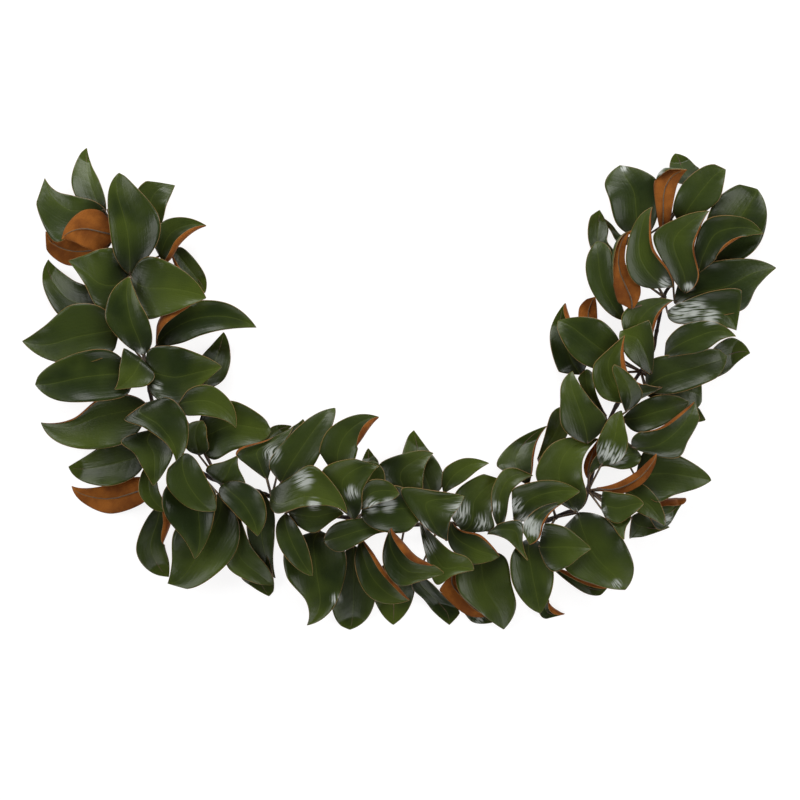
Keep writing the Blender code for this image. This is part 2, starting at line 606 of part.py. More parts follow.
def root_sprays(sprays, stem):
    """Seats each spray's twig on the stem, close to the bases of its leaves."""
    fine = smooth_route(stem, FINE_STEP)
    last = 0
    for leaves in sprays:
        middle = np.mean([leaf.base for leaf in leaves], axis=0)
        nearest = int(np.argmin(np.linalg.norm(fine - middle, axis=1)))
        nearest = max(nearest, last + int(TWIG_SPACING / FINE_STEP))
        last = nearest
        back = max(0, nearest - int(TWIG_LENGTH / FINE_STEP))
        twig = fine[back:nearest + 1]
        seat = STEM_HEIGHT + max(stem_radius(back / len(fine)), stem_radius(nearest / len(fine)))
        height = seat + MESH_GAP + BUD_RADIUS
        heights = np.full(len(twig), height)
        for leaf in leaves:
            leaf.root = np.array((*fine[nearest], height))
            leaf.twig = np.column_stack([twig, heights])


def new_material(name, colour, roughness):
    material = bpy.data.materials.new(name)
    material.use_nodes = True
    shader = material.node_tree.nodes["Principled BSDF"]
    shader.inputs["Base Color"].default_value = colour
    shader.inputs["Roughness"].default_value = roughness
    shader.inputs["Metallic"].default_value = 0.0
    return material


def new_object(name, mesh, collection):
    made = bpy.data.objects.new(name, mesh)
    collection.objects.link(made)
    return made


def blade_mesh(leaf):
    """The closed solid of one blade: its two faces are split into triangles alike."""
    grid = leaf.grid()
    rows, columns = grid.shape[:2]
    normal = np.cross(np.gradient(grid, axis=0), np.gradient(grid, axis=1))
    normal /= np.linalg.norm(normal, axis=-1)[..., None]
    if not leaf.rolls_over():
        normal[[0, -1]] = normal[[0, -1]].mean(axis=1, keepdims=True)
        normal /= np.linalg.norm(normal, axis=-1)[..., None]
    top = grid + 0.5 * BLADE * normal
    under = grid - 0.5 * BLADE * normal
    under[..., 2] = np.where(grid[..., 2] <= FLAT_BELOW + 0.01, 0.0, np.maximum(under[..., 2], 0.0))
    top[..., 2] = np.maximum(top[..., 2], BLADE)
    mesh = bmesh.new()
    faces = []
    for layer in (top, under):
        faces.append([[mesh.verts.new(Vector(point) * MM) for point in row] for row in layer])
    upper, lower = faces
    for r in range(rows - 1):
        for c in range(columns - 1):
            for sheet, turned in ((upper, False), (lower, True)):
                a, b = sheet[r][c], sheet[r + 1][c]
                d, e = sheet[r][c + 1], sheet[r + 1][c + 1]
                for corners in ((a, b, e), (a, e, d)):
                    mesh.faces.new(corners[::-1] if turned else corners)
    rim = [(r, 0) for r in range(rows)]
    rim += [(rows - 1, c) for c in range(1, columns)]
    rim += [(r, columns - 1) for r in range(rows - 2, -1, -1)]
    rim += [(0, c) for c in range(columns - 2, 0, -1)]
    for (r, c), (p, q) in zip(rim, rim[1:] + rim[:1]):
        mesh.faces.new((upper[r][c], lower[r][c], lower[p][q], upper[p][q]))
    bmesh.ops.recalc_face_normals(mesh, faces=mesh.faces)
    data = bpy.data.meshes.new("blade")
    mesh.to_mesh(data)
    mesh.free()
    return data


def tube_mesh(points, radii, sides):
    """A closed tube through the points, in millimetres."""
    mesh = bmesh.new()
    rings = []
    for k, point in enumerate(points):
        ahead = points[min(k + 1, len(points) - 1)] - points[max(k - 1, 0)]
        turn = Vector(ahead).to_track_quat("Z", "Y")
        ring = []
        for n in range(sides):
            angle = 2 * math.pi * n / sides
            spoke = Vector((math.cos(angle), math.sin(angle), 0)) * radii[k]
            ring.append(mesh.verts.new((Vector(point) + turn @ spoke) * MM))
        rings.append(ring)
    for near, far in zip(rings, rings[1:]):
        for n in range(sides):
            mesh.faces.new((near[n], near[(n + 1) % sides], far[(n + 1) % sides], far[n]))
    mesh.faces.new(rings[0][::-1])
    mesh.faces.new(rings[-1])
    bmesh.ops.recalc_face_normals(mesh, faces=mesh.faces)
    data = bpy.data.meshes.new("tube")
    mesh.to_mesh(data)
    mesh.free()
    return data


def bud_mesh(root):
    mesh = bmesh.new()
    bmesh.ops.create_icosphere(mesh, subdivisions=1, radius=BUD_RADIUS * MM)
    bmesh.ops.translate(mesh, verts=mesh.verts, vec=Vector(root) * MM)
    data = bpy.data.meshes.new("bud")
    mesh.to_mesh(data)
    mesh.free()
    return data


def build_spray(name, leaves, material):
    """One spray: its twig, its leaf stalks and its blades, joined in one solid."""
    helpers = bpy.data.collections.new(name + "_pieces")
    bpy.context.scene.collection.children.link(helpers)
    spray = new_object(name, bud_mesh(leaves[0].root), bpy.context.scene.collection)
    twig = leaves[0].twig[::-TWIG_STEP][::-1] - np.array((0, 0, BUD_RADIUS - TWIG_RADIUS))
    radii = np.linspace(TWIG_THINNING * TWIG_RADIUS, TWIG_RADIUS, len(twig))
    new_object("twig", tube_mesh(twig, radii, TWIG_SIDES), helpers)
    for leaf in leaves:
        stalk = [leaf.root, leaf.stalk_end()]
        radii = [STALK_SWELLING * STALK_RADIUS, STALK_RADIUS]
        new_object("stalk", tube_mesh(stalk, radii, STALK_SIDES), helpers)
        new_object("leaf", blade_mesh(leaf), helpers)
    union = spray.modifiers.new("join", "BOOLEAN")
    union.operation = "UNION"
    union.operand_type = "COLLECTION"
    union.collection = helpers
    union.solver = "EXACT"
    bpy.context.view_layer.update()
    graph = bpy.context.evaluated_depsgraph_get()
    joined = bpy.data.meshes.new_from_object(spray.evaluated_get(graph))
    spray.modifiers.clear()
    spray.data = joined
    spray.data.materials.clear()
    spray.data.materials.append(material)
    for helper in list(helpers.objects):
        bpy.data.objects.remove(helper)
    bpy.data.collections.remove(helpers)
    return spray


def build_stem(material):
    curve = bpy.data.curves.new("stem", "CURVE")
    curve.dimensions = "3D"
    curve.bevel_depth = STEM_RADIUS * MM
    curve.bevel_resolution = STEM_BEVEL_RESOLUTION
    curve.use_fill_caps = True
    route = smooth_route(STEM_ROUTE, STEM_POINT_SPACING)
    spline = curve.splines.new("POLY")
    spline.points.add(len(route) - 1)
    for k, (point, place) in enumerate(zip(spline.points, route)):
        point.co = (*(place * MM), STEM_HEIGHT * MM, 1.0)
        point.radius = stem_radius(k / (len(route) - 1)) / STEM_RADIUS
    curve.materials.append(material)
    return new_object("stem", curve, bpy.context.scene.collection)


def main():
    for existing in list(bpy.data.objects):
        bpy.data.objects.remove(existing)
    root_sprays(SPRAYS, STEM_ROUTE)
    settle(SPRAYS, STEM_ROUTE)
    build_stem(new_material("bark", BARK, 0.75))
    for number, leaves in enumerate(SPRAYS, start=1):
        material = new_material(f"spray_leaves_{number:02d}", GREEN, 0.38)
        build_spray(f"spray_{number:02d}", leaves, material)


main()
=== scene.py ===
# %% [markdown]
# # A magnolia leaf garland
# The garland lies on the floor in a swag, seen from straight above. It is one bent woody stem with leafy
# sprays along it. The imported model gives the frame: each spray there is one plain solid, and this lesson
# makes the finer leaves, stalks and stem that stand for those solids.

# %% Load the frame
import math

import bmesh
import bpy
import numpy as np
from mathutils import Matrix, Vector


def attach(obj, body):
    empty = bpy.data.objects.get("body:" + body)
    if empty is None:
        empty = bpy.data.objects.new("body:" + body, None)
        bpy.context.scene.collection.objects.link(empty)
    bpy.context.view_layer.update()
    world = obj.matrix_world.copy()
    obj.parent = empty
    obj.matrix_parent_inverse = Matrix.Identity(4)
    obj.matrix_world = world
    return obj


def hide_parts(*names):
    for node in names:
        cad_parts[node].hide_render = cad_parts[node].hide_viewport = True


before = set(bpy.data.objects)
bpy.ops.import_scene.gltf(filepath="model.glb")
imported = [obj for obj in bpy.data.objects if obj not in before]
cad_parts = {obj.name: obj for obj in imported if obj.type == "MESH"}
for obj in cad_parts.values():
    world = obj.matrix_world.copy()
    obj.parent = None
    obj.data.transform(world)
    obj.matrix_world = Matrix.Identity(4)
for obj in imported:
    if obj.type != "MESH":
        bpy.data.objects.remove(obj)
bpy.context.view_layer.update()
print("nodes in the frame:", len(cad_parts))

# %% [markdown]
# ## The leaves as a list
# A magnolia leaf is a leathery oval with a short point, glossy green above and rust-brown below. No two
# leaves of a garland lie alike, so each has its own outline of eight points seen from above, x and y in
# turn, in millimetres: the base, three points up the left edge, the tip, and three points back down the
# right edge. The layer it lies in follows, from 1 on the floor to 6 on top. A rust leaf shows its
# underside, rolled says how wide an edge is turned over, and rib where the midrib runs.

# %% Sizes that the leaves share
MM = 0.001
LEFT, RIGHT = 1, -1
TIP = 4
STALK_END_WIDTH = 5.0
TIP_WIDTH = 1.6
END_PACE = 6
EDGE_PACE = 0.3
ROW_PLACES = (0.0, 0.12, 0.34, 0.6, 0.85, 1.0)
FEW_ROW_PLACES = (0.0, 0.16, 0.5, 0.84, 1.0)
LOWEST_LONG_LAYER = 4
COLUMN_PLACES = (-1.0, -0.5, 0.0, 0.5, 1.0)
FEW_COLUMN_PLACES = (-1.0, 0.0, 1.0)
LOWEST_FULL_LAYER = 6
ROLLED_COLUMNS = (-1.0, 0.0, 0.95, 1.0, 1.0)
ROLLED_BACK = (0.0, 0.0, 0.0, 0.2, 0.95)
ROLLED_UP = (0.0, 0.0, 0.1, 0.5, 0.75)
LEAST_ROLL = 6
ROLL_AT_ENDS = 2.6
BASE_HEIGHTS = (0, 20, 24, 30, 36, 42, 48)
TIP_HEIGHTS = (0, -24, -16, 17, 36, 52, 63)
CUP = 0.2
RUST_CUP = -0.16
ARCH = 0.07
RIPPLE = 0.07
RIPPLE_PACE = 9.0
RIPPLE_OFFSET = 2.0
FLAT_BELOW = 0.5
STALK_SINK = 0.12
print("layers of leaves:", len(BASE_HEIGHTS) - 1)

# %% [markdown]
# ## One leaf as a surface
# The blade could be drawn point by point, but a formula is shorter and keeps all leaves of one kind. A
# smooth curve runs through the points of each edge, and the blade spans between the two, with an arch along
# it, a cup across it and a ripple at the margin. The same formula gave the plain solids, so the finer
# leaves land where they are. Its coarse grid is kept for the rule that lays the leaves down.

# %% The surface of a leaf


def bend(before, start, end, after, u):
    """The point at the share u of a smooth curve from start to end."""
    curved = (2 * before - 5 * start + 4 * end - after) * u * u
    turned = (3 * start - before - 3 * end + after) * u ** 3
    return 0.5 * (2 * start + (end - before) * u + curved + turned)


def through(points, t):
    """A smooth curve through the points, at the shares t of the way along it."""
    points = np.array(points, float)
    first = 3 * points[0] - 3 * points[1] + points[2]
    last = 3 * points[-1] - 3 * points[-2] + points[-3]
    ends = np.array([first, *points, last])
    place = np.clip(t, 0, 1) * (len(points) - 1)
    k = np.minimum(place.astype(int), len(points) - 2)
    return bend(*(ends[k + n] for n in range(4)), (place - k)[..., None])


class Leaf:
    """One leaf: its outline seen from above, and the layer it lies in, 1 lowest and 6 highest.

    The rib lies between the right edge, 0, and the left edge, 1. The left edge is turned over by
    rolled millimetres, or the right one where rolled is negative, between the shares in turned.
    """

    def __init__(self, outline, layer, rust=False, rolled=0, turned=(0, 1), rib=0.5):
        self.outline = np.reshape(np.array(outline, float), (-1, 2))
        self.base = self.outline[0]
        self.layer = layer
        self.rust = rust
        self.rolled = abs(rolled)
        self.side = RIGHT if rolled < 0 else LEFT
        self.turned = turned
        self.rib = rib
        along = self.outline[TIP] - self.base
        self.length = float(np.linalg.norm(along))
        self.along = along / self.length
        self.left = np.array((-self.along[1], self.along[0]))
        self.low = BASE_HEIGHTS[layer]
        self.high = TIP_HEIGHTS[layer]
        self.root = None
        self.twig = None

    def edges(self, t):
        """The right and the left edge, in plan, with a least width at both ends."""
        left = through(self.outline[:TIP + 1], t)
        right = through(self.outline[[0, *range(len(self.outline) - 1, TIP - 1, -1)]], t)
        left, right = (self.kept_ahead(edge, t) for edge in (left, right))
        least = 0.5 * (STALK_END_WIDTH * (1 - t) ** END_PACE + TIP_WIDTH * t ** END_PACE)
        return right - least[..., None] * self.left, left + least[..., None] * self.left

    def kept_ahead(self, edge, t):
        """The edge, moved where it would lie behind the base or beyond the tip."""
        ahead = (edge - self.base) @ self.along
        least = EDGE_PACE * t * self.length
        most = (1 - EDGE_PACE * (1 - t)) * self.length
        return edge + (np.clip(ahead, least, most) - ahead)[..., None] * self.along

    def rolled_width(self, t):
        """How wide the rolled edge is, at the shares t of the length."""
        start, end = self.turned
        return self.rolled * np.sin(np.pi * np.clip((t - start) / (end - start), 0, 1)) ** 0.5

    def halves(self, t, s):
        """The rib, and what leads from it to the edge on the side of s, in plan."""
        right, left = self.edges(t)
        middle = right + (left - right) * self.rib
        return middle, np.where((s > 0)[..., None], left, right) - middle

    def surface(self, t, s):
        """Points of the blade, t from base to tip and s from the right edge, -1, to the left edge, 1."""
        middle, out = self.halves(t, s)
        h = np.linalg.norm(out, axis=-1)
        plan = middle + np.abs(s)[..., None] * out
        arch = ARCH * self.length * 4 * t * (1 - t)
        cup = RUST_CUP if self.rust else CUP
        ripple = RIPPLE * h * np.abs(s) ** 3 * np.sin(RIPPLE_PACE * t + self.base[0] + RIPPLE_OFFSET * s)
        height = self.low + (self.high - self.low) * t + arch + h * (cup * s * s) + ripple
        height = np.maximum(height, FLAT_BELOW)
        return np.concatenate([plan, height[..., None]], axis=-1)

    def stalk_end(self):
        """Where the stalk ends, inside the blade."""
        return self.surface(np.array(STALK_SINK), np.array(0.0))

    def rows(self):
        return np.array(ROW_PLACES if self.layer >= LOWEST_LONG_LAYER else FEW_ROW_PLACES)

    def grid(self):
        """The points of the coarse blade, rows from base to tip and columns from right to left."""
        rows = self.rows()
        if self.rust or self.rolled < LEAST_ROLL:
            places = COLUMN_PLACES if self.layer >= LOWEST_FULL_LAYER else FEW_COLUMN_PLACES
            return self.surface(*np.meshgrid(rows, places, indexing="ij"))
        rolled = np.maximum(self.rolled_width(rows), ROLL_AT_ENDS)[:, None]
        t, s = np.meshgrid(rows, self.side * np.array(ROLLED_COLUMNS), indexing="ij")
        points = self.surface(t, s)
        points[..., :2] -= (self.side * rolled * ROLLED_BACK)[..., None] * self.left
        points[..., 2] += rolled * ROLLED_UP
        return points if self.side > 0 else points[:, ::-1]


# %% The leaves, spray by spray
SPRAYS = [[
    Leaf([-474, 281, -510, 297, -528, 333, -520, 371, -505, 390, -497, 363, -483, 336, -473, 305],
        2, rib=0.35),
    Leaf([-474, 288, -520, 252, -555, 239, -583, 298, -571, 340, -551, 319, -522, 311, -492, 303],
        3, rib=0.3),
    Leaf([-458, 248, -482, 222, -504, 228, -524, 238, -541, 241, -530, 268, -506, 288, -476, 284],
        4, rust=True),
    Leaf([-466, 232, -500, 206, -536, 201, -568, 224, -571, 255, -553, 250, -522, 246, -490, 242],
        2, rust=True),
], [
    Leaf([-432, 186, -454, 212, -463, 256, -466, 314, -449, 347, -425, 328, -386, 280, -388, 234],
        5, rib=0.67),
    Leaf([-396, 240, -418, 272, -422, 318, -394, 340, -362, 329, -366, 316, -374, 296, -381, 270], 3),
    Leaf([-380, 205, -396, 232, -382, 268, -348, 277, -311, 264, -334, 252, -354, 233, -368, 210],
        3, rolled=-12),
    Leaf([-366, 226, -349, 228, -328, 208, -313, 182, -314, 157, -330, 163, -348, 180, -362, 203],
        2, rolled=-8),
    Leaf([-434, 184, -460, 132, -485, 134, -506, 172, -531, 207, -505, 216, -475, 226, -450, 222],
        4, rib=0.6),
    Leaf([-431, 182, -408, 211, -373, 206, -333, 180, -310, 147, -338, 134, -376, 119, -410, 118], 5),
    Leaf([-478, 132, -514, 112, -549, 121, -575, 170, -567, 210, -551, 195, -524, 176, -498, 163], 2),
], [
    Leaf([-411, 56, -444, 78, -469, 113, -461, 154, -432, 181, -418, 146, -400, 110, -396, 77], 6, rib=0.42),
    Leaf([-450, 97, -461, 60, -505, 43, -562, 48, -605, 78, -570, 101, -527, 135, -480, 133], 4, rib=0.54),
    Leaf([-426, 18, -441, -10, -496, -19, -549, -16, -583, 9, -563, 36, -512, 60, -459, 61], 5),
    Leaf([-391, 71, -379, 118, -331, 142, -274, 138, -231, 101, -280, 97, -317, 88, -352, 75],
        3, rolled=26, turned=(0, 0.5)),
    Leaf([-316, 2, -328, 24, -321, 51, -303, 73, -284, 93, -275, 72, -273, 43, -285, 15], 2),
    Leaf([-409, 27, -401, 64, -361, 70, -315, 55, -285, 37, -321, 4, -358, -29, -397, -6], 5),
    Leaf([-413, 50, -392, 24, -404, 7, -430, 3, -455, 1, -449, 17, -446, 44, -437, 69], 6),
], [
    Leaf([-404, -26, -430, -78, -489, -95, -546, -85, -577, -53, -525, -46, -481, -13, -436, -6],
        3, rolled=-4, rib=0.37),
    Leaf([-407, -104, -424, -137, -466, -154, -511, -147, -534, -124, -507, -107, -474, -88, -436, -84], 2),
    Leaf([-396, -158, -418, -184, -467, -199, -510, -182, -529, -155, -502, -158, -461, -151, -420, -140],
        1, rust=True),
    Leaf([-404, -20, -366, -14, -340, -44, -339, -86, -357, -114, -373, -85, -408, -60, -440, -45],
        6, rib=0.33),
    Leaf([-388, -62, -364, -78, -363, -104, -377, -132, -394, -153, -408, -130, -424, -102, -444, -80], 5),
    Leaf([-402, -118, -391, -138, -385, -163, -375, -182, -371, -194, -397, -190, -417, -166, -415, -137],
        4),
], [
    Leaf([-344, -102, -326, -110, -308, -140, -294, -172, -295, -193, -337, -187, -369, -156, -368, -123],
        6),
    Leaf([-338, -128, -297, -158, -296, -196, -307, -238, -328, -270, -345, -238, -374, -201, -376, -160],
        5, rib=0.67),
    Leaf([-384, -184, -370, -208, -378, -246, -372, -276, -373, -301, -407, -289, -424, -256, -409, -211],
        2, rolled=16, turned=(0, 0.52)),
    Leaf([-290, -168, -258, -216, -269, -269, -326, -315, -373, -311, -366, -279, -361, -226, -322, -184],
        3),
], [
    Leaf([-354, -24, -332, 3, -298, 6, -268, -22, -262, -60, -283, -47, -313, -41, -341, -40], 5),
    Leaf([-322, -78, -312, -32, -270, -17, -226, -38, -207, -63, -224, -85, -265, -96, -300, -111], 4),
    Leaf([-322, -104, -341, -94, -346, -74, -338, -55, -315, -49, -309, -60, -308, -76, -306, -94], 5),
], [
    Leaf([-288, -152, -308, -141, -307, -122, -281, -114, -258, -104, -258, -123, -247, -151, -268, -160],
        4),
    Leaf([-283, -150, -252, -147, -222, -166, -213, -200, -227, -233, -248, -213, -270, -190, -288, -168],
        6, rib=0.4),
    Leaf([-260, -198, -250, -222, -237, -253, -211, -287, -203, -313, -238, -308, -276, -284, -280, -238],
        2),
    Leaf([-238, -236, -218, -258, -206, -290, -203, -319, -211, -332, -238, -317, -257, -299, -256, -264],
        1),
    Leaf([-226, -160, -203, -193, -201, -232, -204, -272, -201, -303, -222, -280, -243, -240, -244, -195],
        1),
], [
    Leaf([-213, -143, -254, -138, -262, -98, -213, -80, -172, -60, -180, -76, -192, -95, -203, -117],
        4, rolled=5, turned=(0.35, 0.8)),
    Leaf([-225, -92, -222, -78, -210, -62, -196, -56, -175, -58, -185, -68, -198, -78, -210, -90], 2),
    Leaf([-188, -98, -190, -80, -178, -63, -164, -53, -156, -47, -151, -56, -155, -72, -168, -90], 2),
    Leaf([-190, -148, -208, -116, -180, -77, -141, -42, -104, -29, -106, -50, -121, -88, -146, -130], 4),
    Leaf([-106, -132, -129, -112, -117, -67, -76, -41, -34, -43, -52, -62, -65, -88, -76, -117],
        5, rolled=-13, turned=(0.45, 1)),
], [
    Leaf([-207, -163, -176, -140, -139, -120, -101, -156, -84, -195, -113, -184, -155, -186, -198, -196],
        6, rib=0.25),
    Leaf([-178, -196, -160, -182, -135, -177, -108, -184, -90, -198, -108, -209, -137, -228, -163, -217], 5),
    Leaf([-184, -198, -167, -213, -151, -241, -142, -271, -140, -297, -167, -283, -192, -252, -198, -220],
        5),
    Leaf([-128, -226, -96, -240, -86, -285, -107, -349, -149, -378, -150, -340, -182, -297, -181, -250], 3),
], [
    Leaf([-121, -241, -103, -213, -60, -204, -20, -206, -8, -228, -36, -229, -62, -243, -96, -258], 5),
    Leaf([-75, -250, -46, -272, -37, -315, -49, -362, -81, -386, -104, -368, -112, -325, -102, -280], 2),
    Leaf([-62, -240, -46, -257, -27, -286, 0, -318, 15, -337, -28, -341, -58, -320, -72, -276], 4, rolled=9),
    Leaf([-55, -165, -66, -150, -66, -130, -59, -108, -51, -94, -43, -104, -34, -118, -38, -145], 2),
    Leaf([-52, -195, -72, -170, -74, -140, -60, -116, -42, -113, -27, -128, -24, -150, -32, -178], 4),
    Leaf([-62, -198, -46, -168, -8, -152, 34, -172, 69, -193, 38, -203, 8, -227, -38, -222], 5),
    Leaf([-68, -190, -66, -166, -48, -144, -20, -145, -1, -165, -13, -175, -35, -181, -54, -188], 5),
    Leaf([-75, -206, -104, -186, -124, -130, -80, -110, -34, -121, -46, -135, -59, -160, -62, -190], 5),
], [
    Leaf([-2, -268, 18, -288, 24, -320, 13, -354, -11, -378, -33, -355, -45, -320, -30, -285], 1),
    Leaf([-16, -222, 2, -241, 24, -264, 54, -279, 70, -293, 34, -304, -3, -311, -27, -274],
        5, rolled=16, turned=(0, 0.75)),
    Leaf([2, -172, -28, -152, -32, -118, 18, -99, 53, -101, 41, -121, 37, -143, 33, -166], 3),
    Leaf([52, -170, 20, -152, 3, -116, 10, -82, 22, -65, 44, -94, 64, -121, 70, -148], 2),
], [
    Leaf([33, -213, 52, -231, 80, -256, 108, -268, 118, -288, 86, -296, 57, -310, 40, -258], 4),
    Leaf([70, -164, 67, -145, 73, -124, 104, -109, 142, -117, 124, -129, 103, -146, 84, -157], 4),
    Leaf([100, -226, 83, -200, 92, -160, 136, -134, 160, -143, 152, -168, 147, -196, 148, -222], 3),
    Leaf([82, -212, 100, -225, 128, -231, 149, -251, 159, -267, 142, -275, 108, -277, 79, -247],
        3, rolled=4),
    Leaf([74, -240, 30, -208, 2, -158, 58, -161, 102, -169, 96, -184, 82, -203, 77, -222], 5),
    Leaf([28, -298, 50, -310, 74, -335, 96, -358, 80, -378, 55, -358, 38, -337, 20, -318], 1),
], [
    Leaf([86, -292, 102, -304, 120, -325, 135, -346, 143, -362, 112, -363, 83, -343, 61, -313],
        2, rust=True),
    Leaf([131, -262, 168, -268, 179, -311, 186, -350, 167, -385, 132, -360, 95, -324, 93, -285], 2),
    Leaf([90, -312, 120, -318, 145, -340, 156, -362, 150, -374, 120, -375, 104, -360, 88, -335], 1),
], [
    Leaf([205, -152, 168, -138, 156, -115, 185, -82, 236, -58, 222, -82, 216, -105, 213, -132],
        2, rolled=-4),
    Leaf([182, -206, 170, -180, 185, -155, 240, -144, 287, -162, 262, -179, 238, -190, 205, -208], 5),
    Leaf([207, -238, 232, -251, 245, -287, 241, -324, 224, -357, 197, -338, 178, -303, 179, -262], 5),
    Leaf([141, -229, 161, -213, 194, -210, 196, -245, 204, -272, 189, -257, 173, -241, 157, -233], 5),
    Leaf([258, -180, 241, -195, 229, -213, 222, -236, 206, -246, 197, -235, 198, -210, 222, -188],
        6, rolled=4),
    Leaf([246, -285, 276, -296, 300, -306, 318, -313, 334, -319, 320, -331, 296, -326, 266, -305],
        1, rolled=12),
    Leaf([228, -300, 236, -325, 243, -347, 254, -357, 265, -361, 248, -368, 228, -365, 218, -335],
        1, rolled=12, turned=(0.4, 1)),
    Leaf([160, -222, 148, -195, 148, -158, 170, -126, 213, -137, 190, -150, 176, -168, 170, -200], 3),
], [
    Leaf([285, -197, 328, -205, 357, -240, 374, -284, 361, -320, 315, -312, 265, -287, 250, -225], 4),
    Leaf([222, -112, 232, -75, 240, -45, 249, -32, 262, -27, 275, -50, 265, -80, 245, -100], 2),
    Leaf([222, -250, 226, -215, 262, -218, 288, -237, 305, -254, 288, -266, 265, -283, 240, -287], 5),
], [
    Leaf([322, -190, 322, -163, 345, -164, 372, -168, 388, -181, 374, -196, 350, -212, 332, -206], 6),
    Leaf([330, -184, 345, -195, 368, -203, 360, -220, 357, -238, 348, -230, 338, -215, 326, -200], 5),
    Leaf([372, -205, 392, -196, 412, -206, 424, -215, 434, -221, 406, -232, 385, -237, 358, -234], 1),
    Leaf([398, -200, 418, -179, 440, -176, 452, -176, 461, -175, 450, -190, 434, -216, 415, -224],
        1, rolled=17),
    Leaf([362, -160, 385, -150, 408, -168, 422, -195, 424, -217, 405, -207, 388, -199, 370, -188], 4),
    Leaf([316, -158, 345, -149, 375, -132, 398, -112, 409, -102, 405, -124, 388, -149, 355, -165],
        5, rust=True),
    Leaf([322, -120, 314, -92, 322, -65, 336, -43, 354, -33, 360, -60, 364, -85, 352, -112], 5),
    Leaf([302, -142, 295, -125, 299, -106, 310, -90, 319, -79, 317, -94, 314, -110, 309, -128],
        3, rust=True),
    Leaf([303, -137, 312, -108, 335, -93, 362, -84, 386, -105, 378, -121, 355, -127, 325, -122], 4),
    Leaf([282, -195, 235, -165, 217, -130, 248, -83, 318, -78, 295, -105, 291, -135, 298, -170], 4),
], [
    Leaf([300, -85, 260, -60, 256, -15, 259, 12, 276, 30, 288, 8, 308, -20, 330, -50], 4),
    Leaf([378, -140, 398, -92, 440, -102, 482, -125, 500, -145, 476, -158, 440, -168, 408, -178], 3),
    Leaf([358, -46, 380, -23, 410, -9, 440, -9, 464, -20, 440, -45, 408, -62, 378, -67], 3),
    Leaf([372, -92, 378, -70, 418, -58, 452, -34, 472, -19, 479, -45, 461, -80, 440, -108],
        4, rolled=6, turned=(0.3, 1)),
    Leaf([450, -35, 468, -26, 480, -28, 487, -38, 492, -48, 484, -51, 472, -52, 458, -45], 1),
    Leaf([362, -34, 352, -15, 345, 8, 338, 30, 341, 40, 362, 28, 380, 8, 385, -12], 6),
    Leaf([330, -42, 300, -10, 286, 15, 284, 27, 298, 33, 309, 25, 313, 0, 322, -25], 3),
], [
    Leaf([396, 0, 402, 47, 450, 58, 503, 66, 525, 54, 515, 28, 496, 14, 440, -5], 3),
    Leaf([395, -5, 430, 22, 470, 26, 495, 14, 486, -18, 474, -30, 450, -30, 420, -22], 2),
    Leaf([490, 40, 505, 68, 530, 84, 550, 78, 564, 60, 545, 46, 525, 28, 500, 20], 1),
    Leaf([398, 40, 362, 85, 356, 122, 392, 145, 438, 144, 414, 120, 405, 88, 403, 55],
        4, rolled=-6, turned=(0.3, 1)),
    Leaf([402, 26, 378, 40, 362, 54, 351, 76, 352, 94, 368, 107, 394, 114, 405, 80], 5),
    Leaf([418, 3, 370, -20, 320, -10, 309, 40, 358, 87, 357, 52, 366, 22, 392, 9],
        5, rolled=-12, turned=(0.25, 1)),
    Leaf([424, 54, 428, 82, 455, 105, 500, 109, 536, 86, 512, 80, 485, 62, 455, 57], 5),
    Leaf([350, 45, 318, 33, 280, 50, 256, 86, 253, 111, 292, 117, 325, 109, 350, 80], 4),
    Leaf([290, 25, 262, 20, 244, 60, 243, 100, 266, 140, 273, 115, 290, 80, 300, 50],
        2, rolled=-10, turned=(0.6, 1)),
    Leaf([305, 80, 290, 100, 288, 130, 300, 146, 314, 150, 317, 135, 318, 115, 318, 95], 1, rust=True),
], [
    Leaf([370, 130, 350, 138, 338, 190, 345, 235, 370, 255, 362, 235, 361, 200, 384, 164],
        4, rust=True, rolled=6, turned=(0.4, 1)),
    Leaf([362, 112, 330, 127, 304, 165, 298, 205, 315, 238, 337, 225, 343, 180, 354, 140], 3),
    Leaf([345, 205, 318, 208, 303, 240, 305, 275, 321, 290, 335, 262, 333, 240, 342, 225], 2),
    Leaf([375, 235, 350, 238, 338, 258, 326, 274, 320, 281, 340, 268, 355, 250, 370, 245], 1),
    Leaf([428, 125, 448, 139, 500, 158, 547, 156, 538, 96, 505, 103, 470, 104, 438, 108], 4, rib=0.35),
], [
    Leaf([478, 190, 470, 225, 490, 272, 545, 276, 581, 250, 545, 243, 520, 228, 500, 205],
        5, rolled=-6, turned=(0.3, 0.8)),
    Leaf([498, 206, 488, 255, 505, 303, 545, 330, 574, 323, 588, 285, 578, 238, 545, 208], 3),
    Leaf([456, 156, 430, 188, 404, 245, 445, 275, 493, 286, 480, 259, 470, 226, 478, 180], 5, rolled=-4),
    Leaf([435, 165, 380, 168, 360, 205, 372, 262, 402, 292, 400, 262, 405, 225, 430, 190], 6, rolled=-6),
    Leaf([440, 140, 458, 190, 500, 205, 560, 210, 603, 196, 572, 165, 548, 128, 490, 120], 3),
], [
    Leaf([470, 330, 442, 335, 434, 355, 436, 370, 443, 381, 462, 375, 474, 362, 481, 352], 1),
    Leaf([392, 245, 350, 262, 335, 305, 329, 335, 353, 361, 395, 349, 416, 325, 411, 275], 3),
    Leaf([420, 250, 411, 285, 407, 335, 428, 356, 458, 352, 444, 330, 437, 300, 431, 268],
        4, rust=True, rolled=11, turned=(0.5, 1)),
    Leaf([450, 265, 437, 290, 452, 330, 490, 359, 521, 353, 517, 328, 509, 303, 480, 280], 3),
]]
print("sprays:", len(SPRAYS), "leaves:", sum(len(leaves) for leaves in SPRAYS))

# %% [markdown]
# ## The stem's route
# The stem is a branch bent to a U. Its way is a short list of points that the eye reads off the garland,
# and a smooth curve runs through them all, so no corner shows.

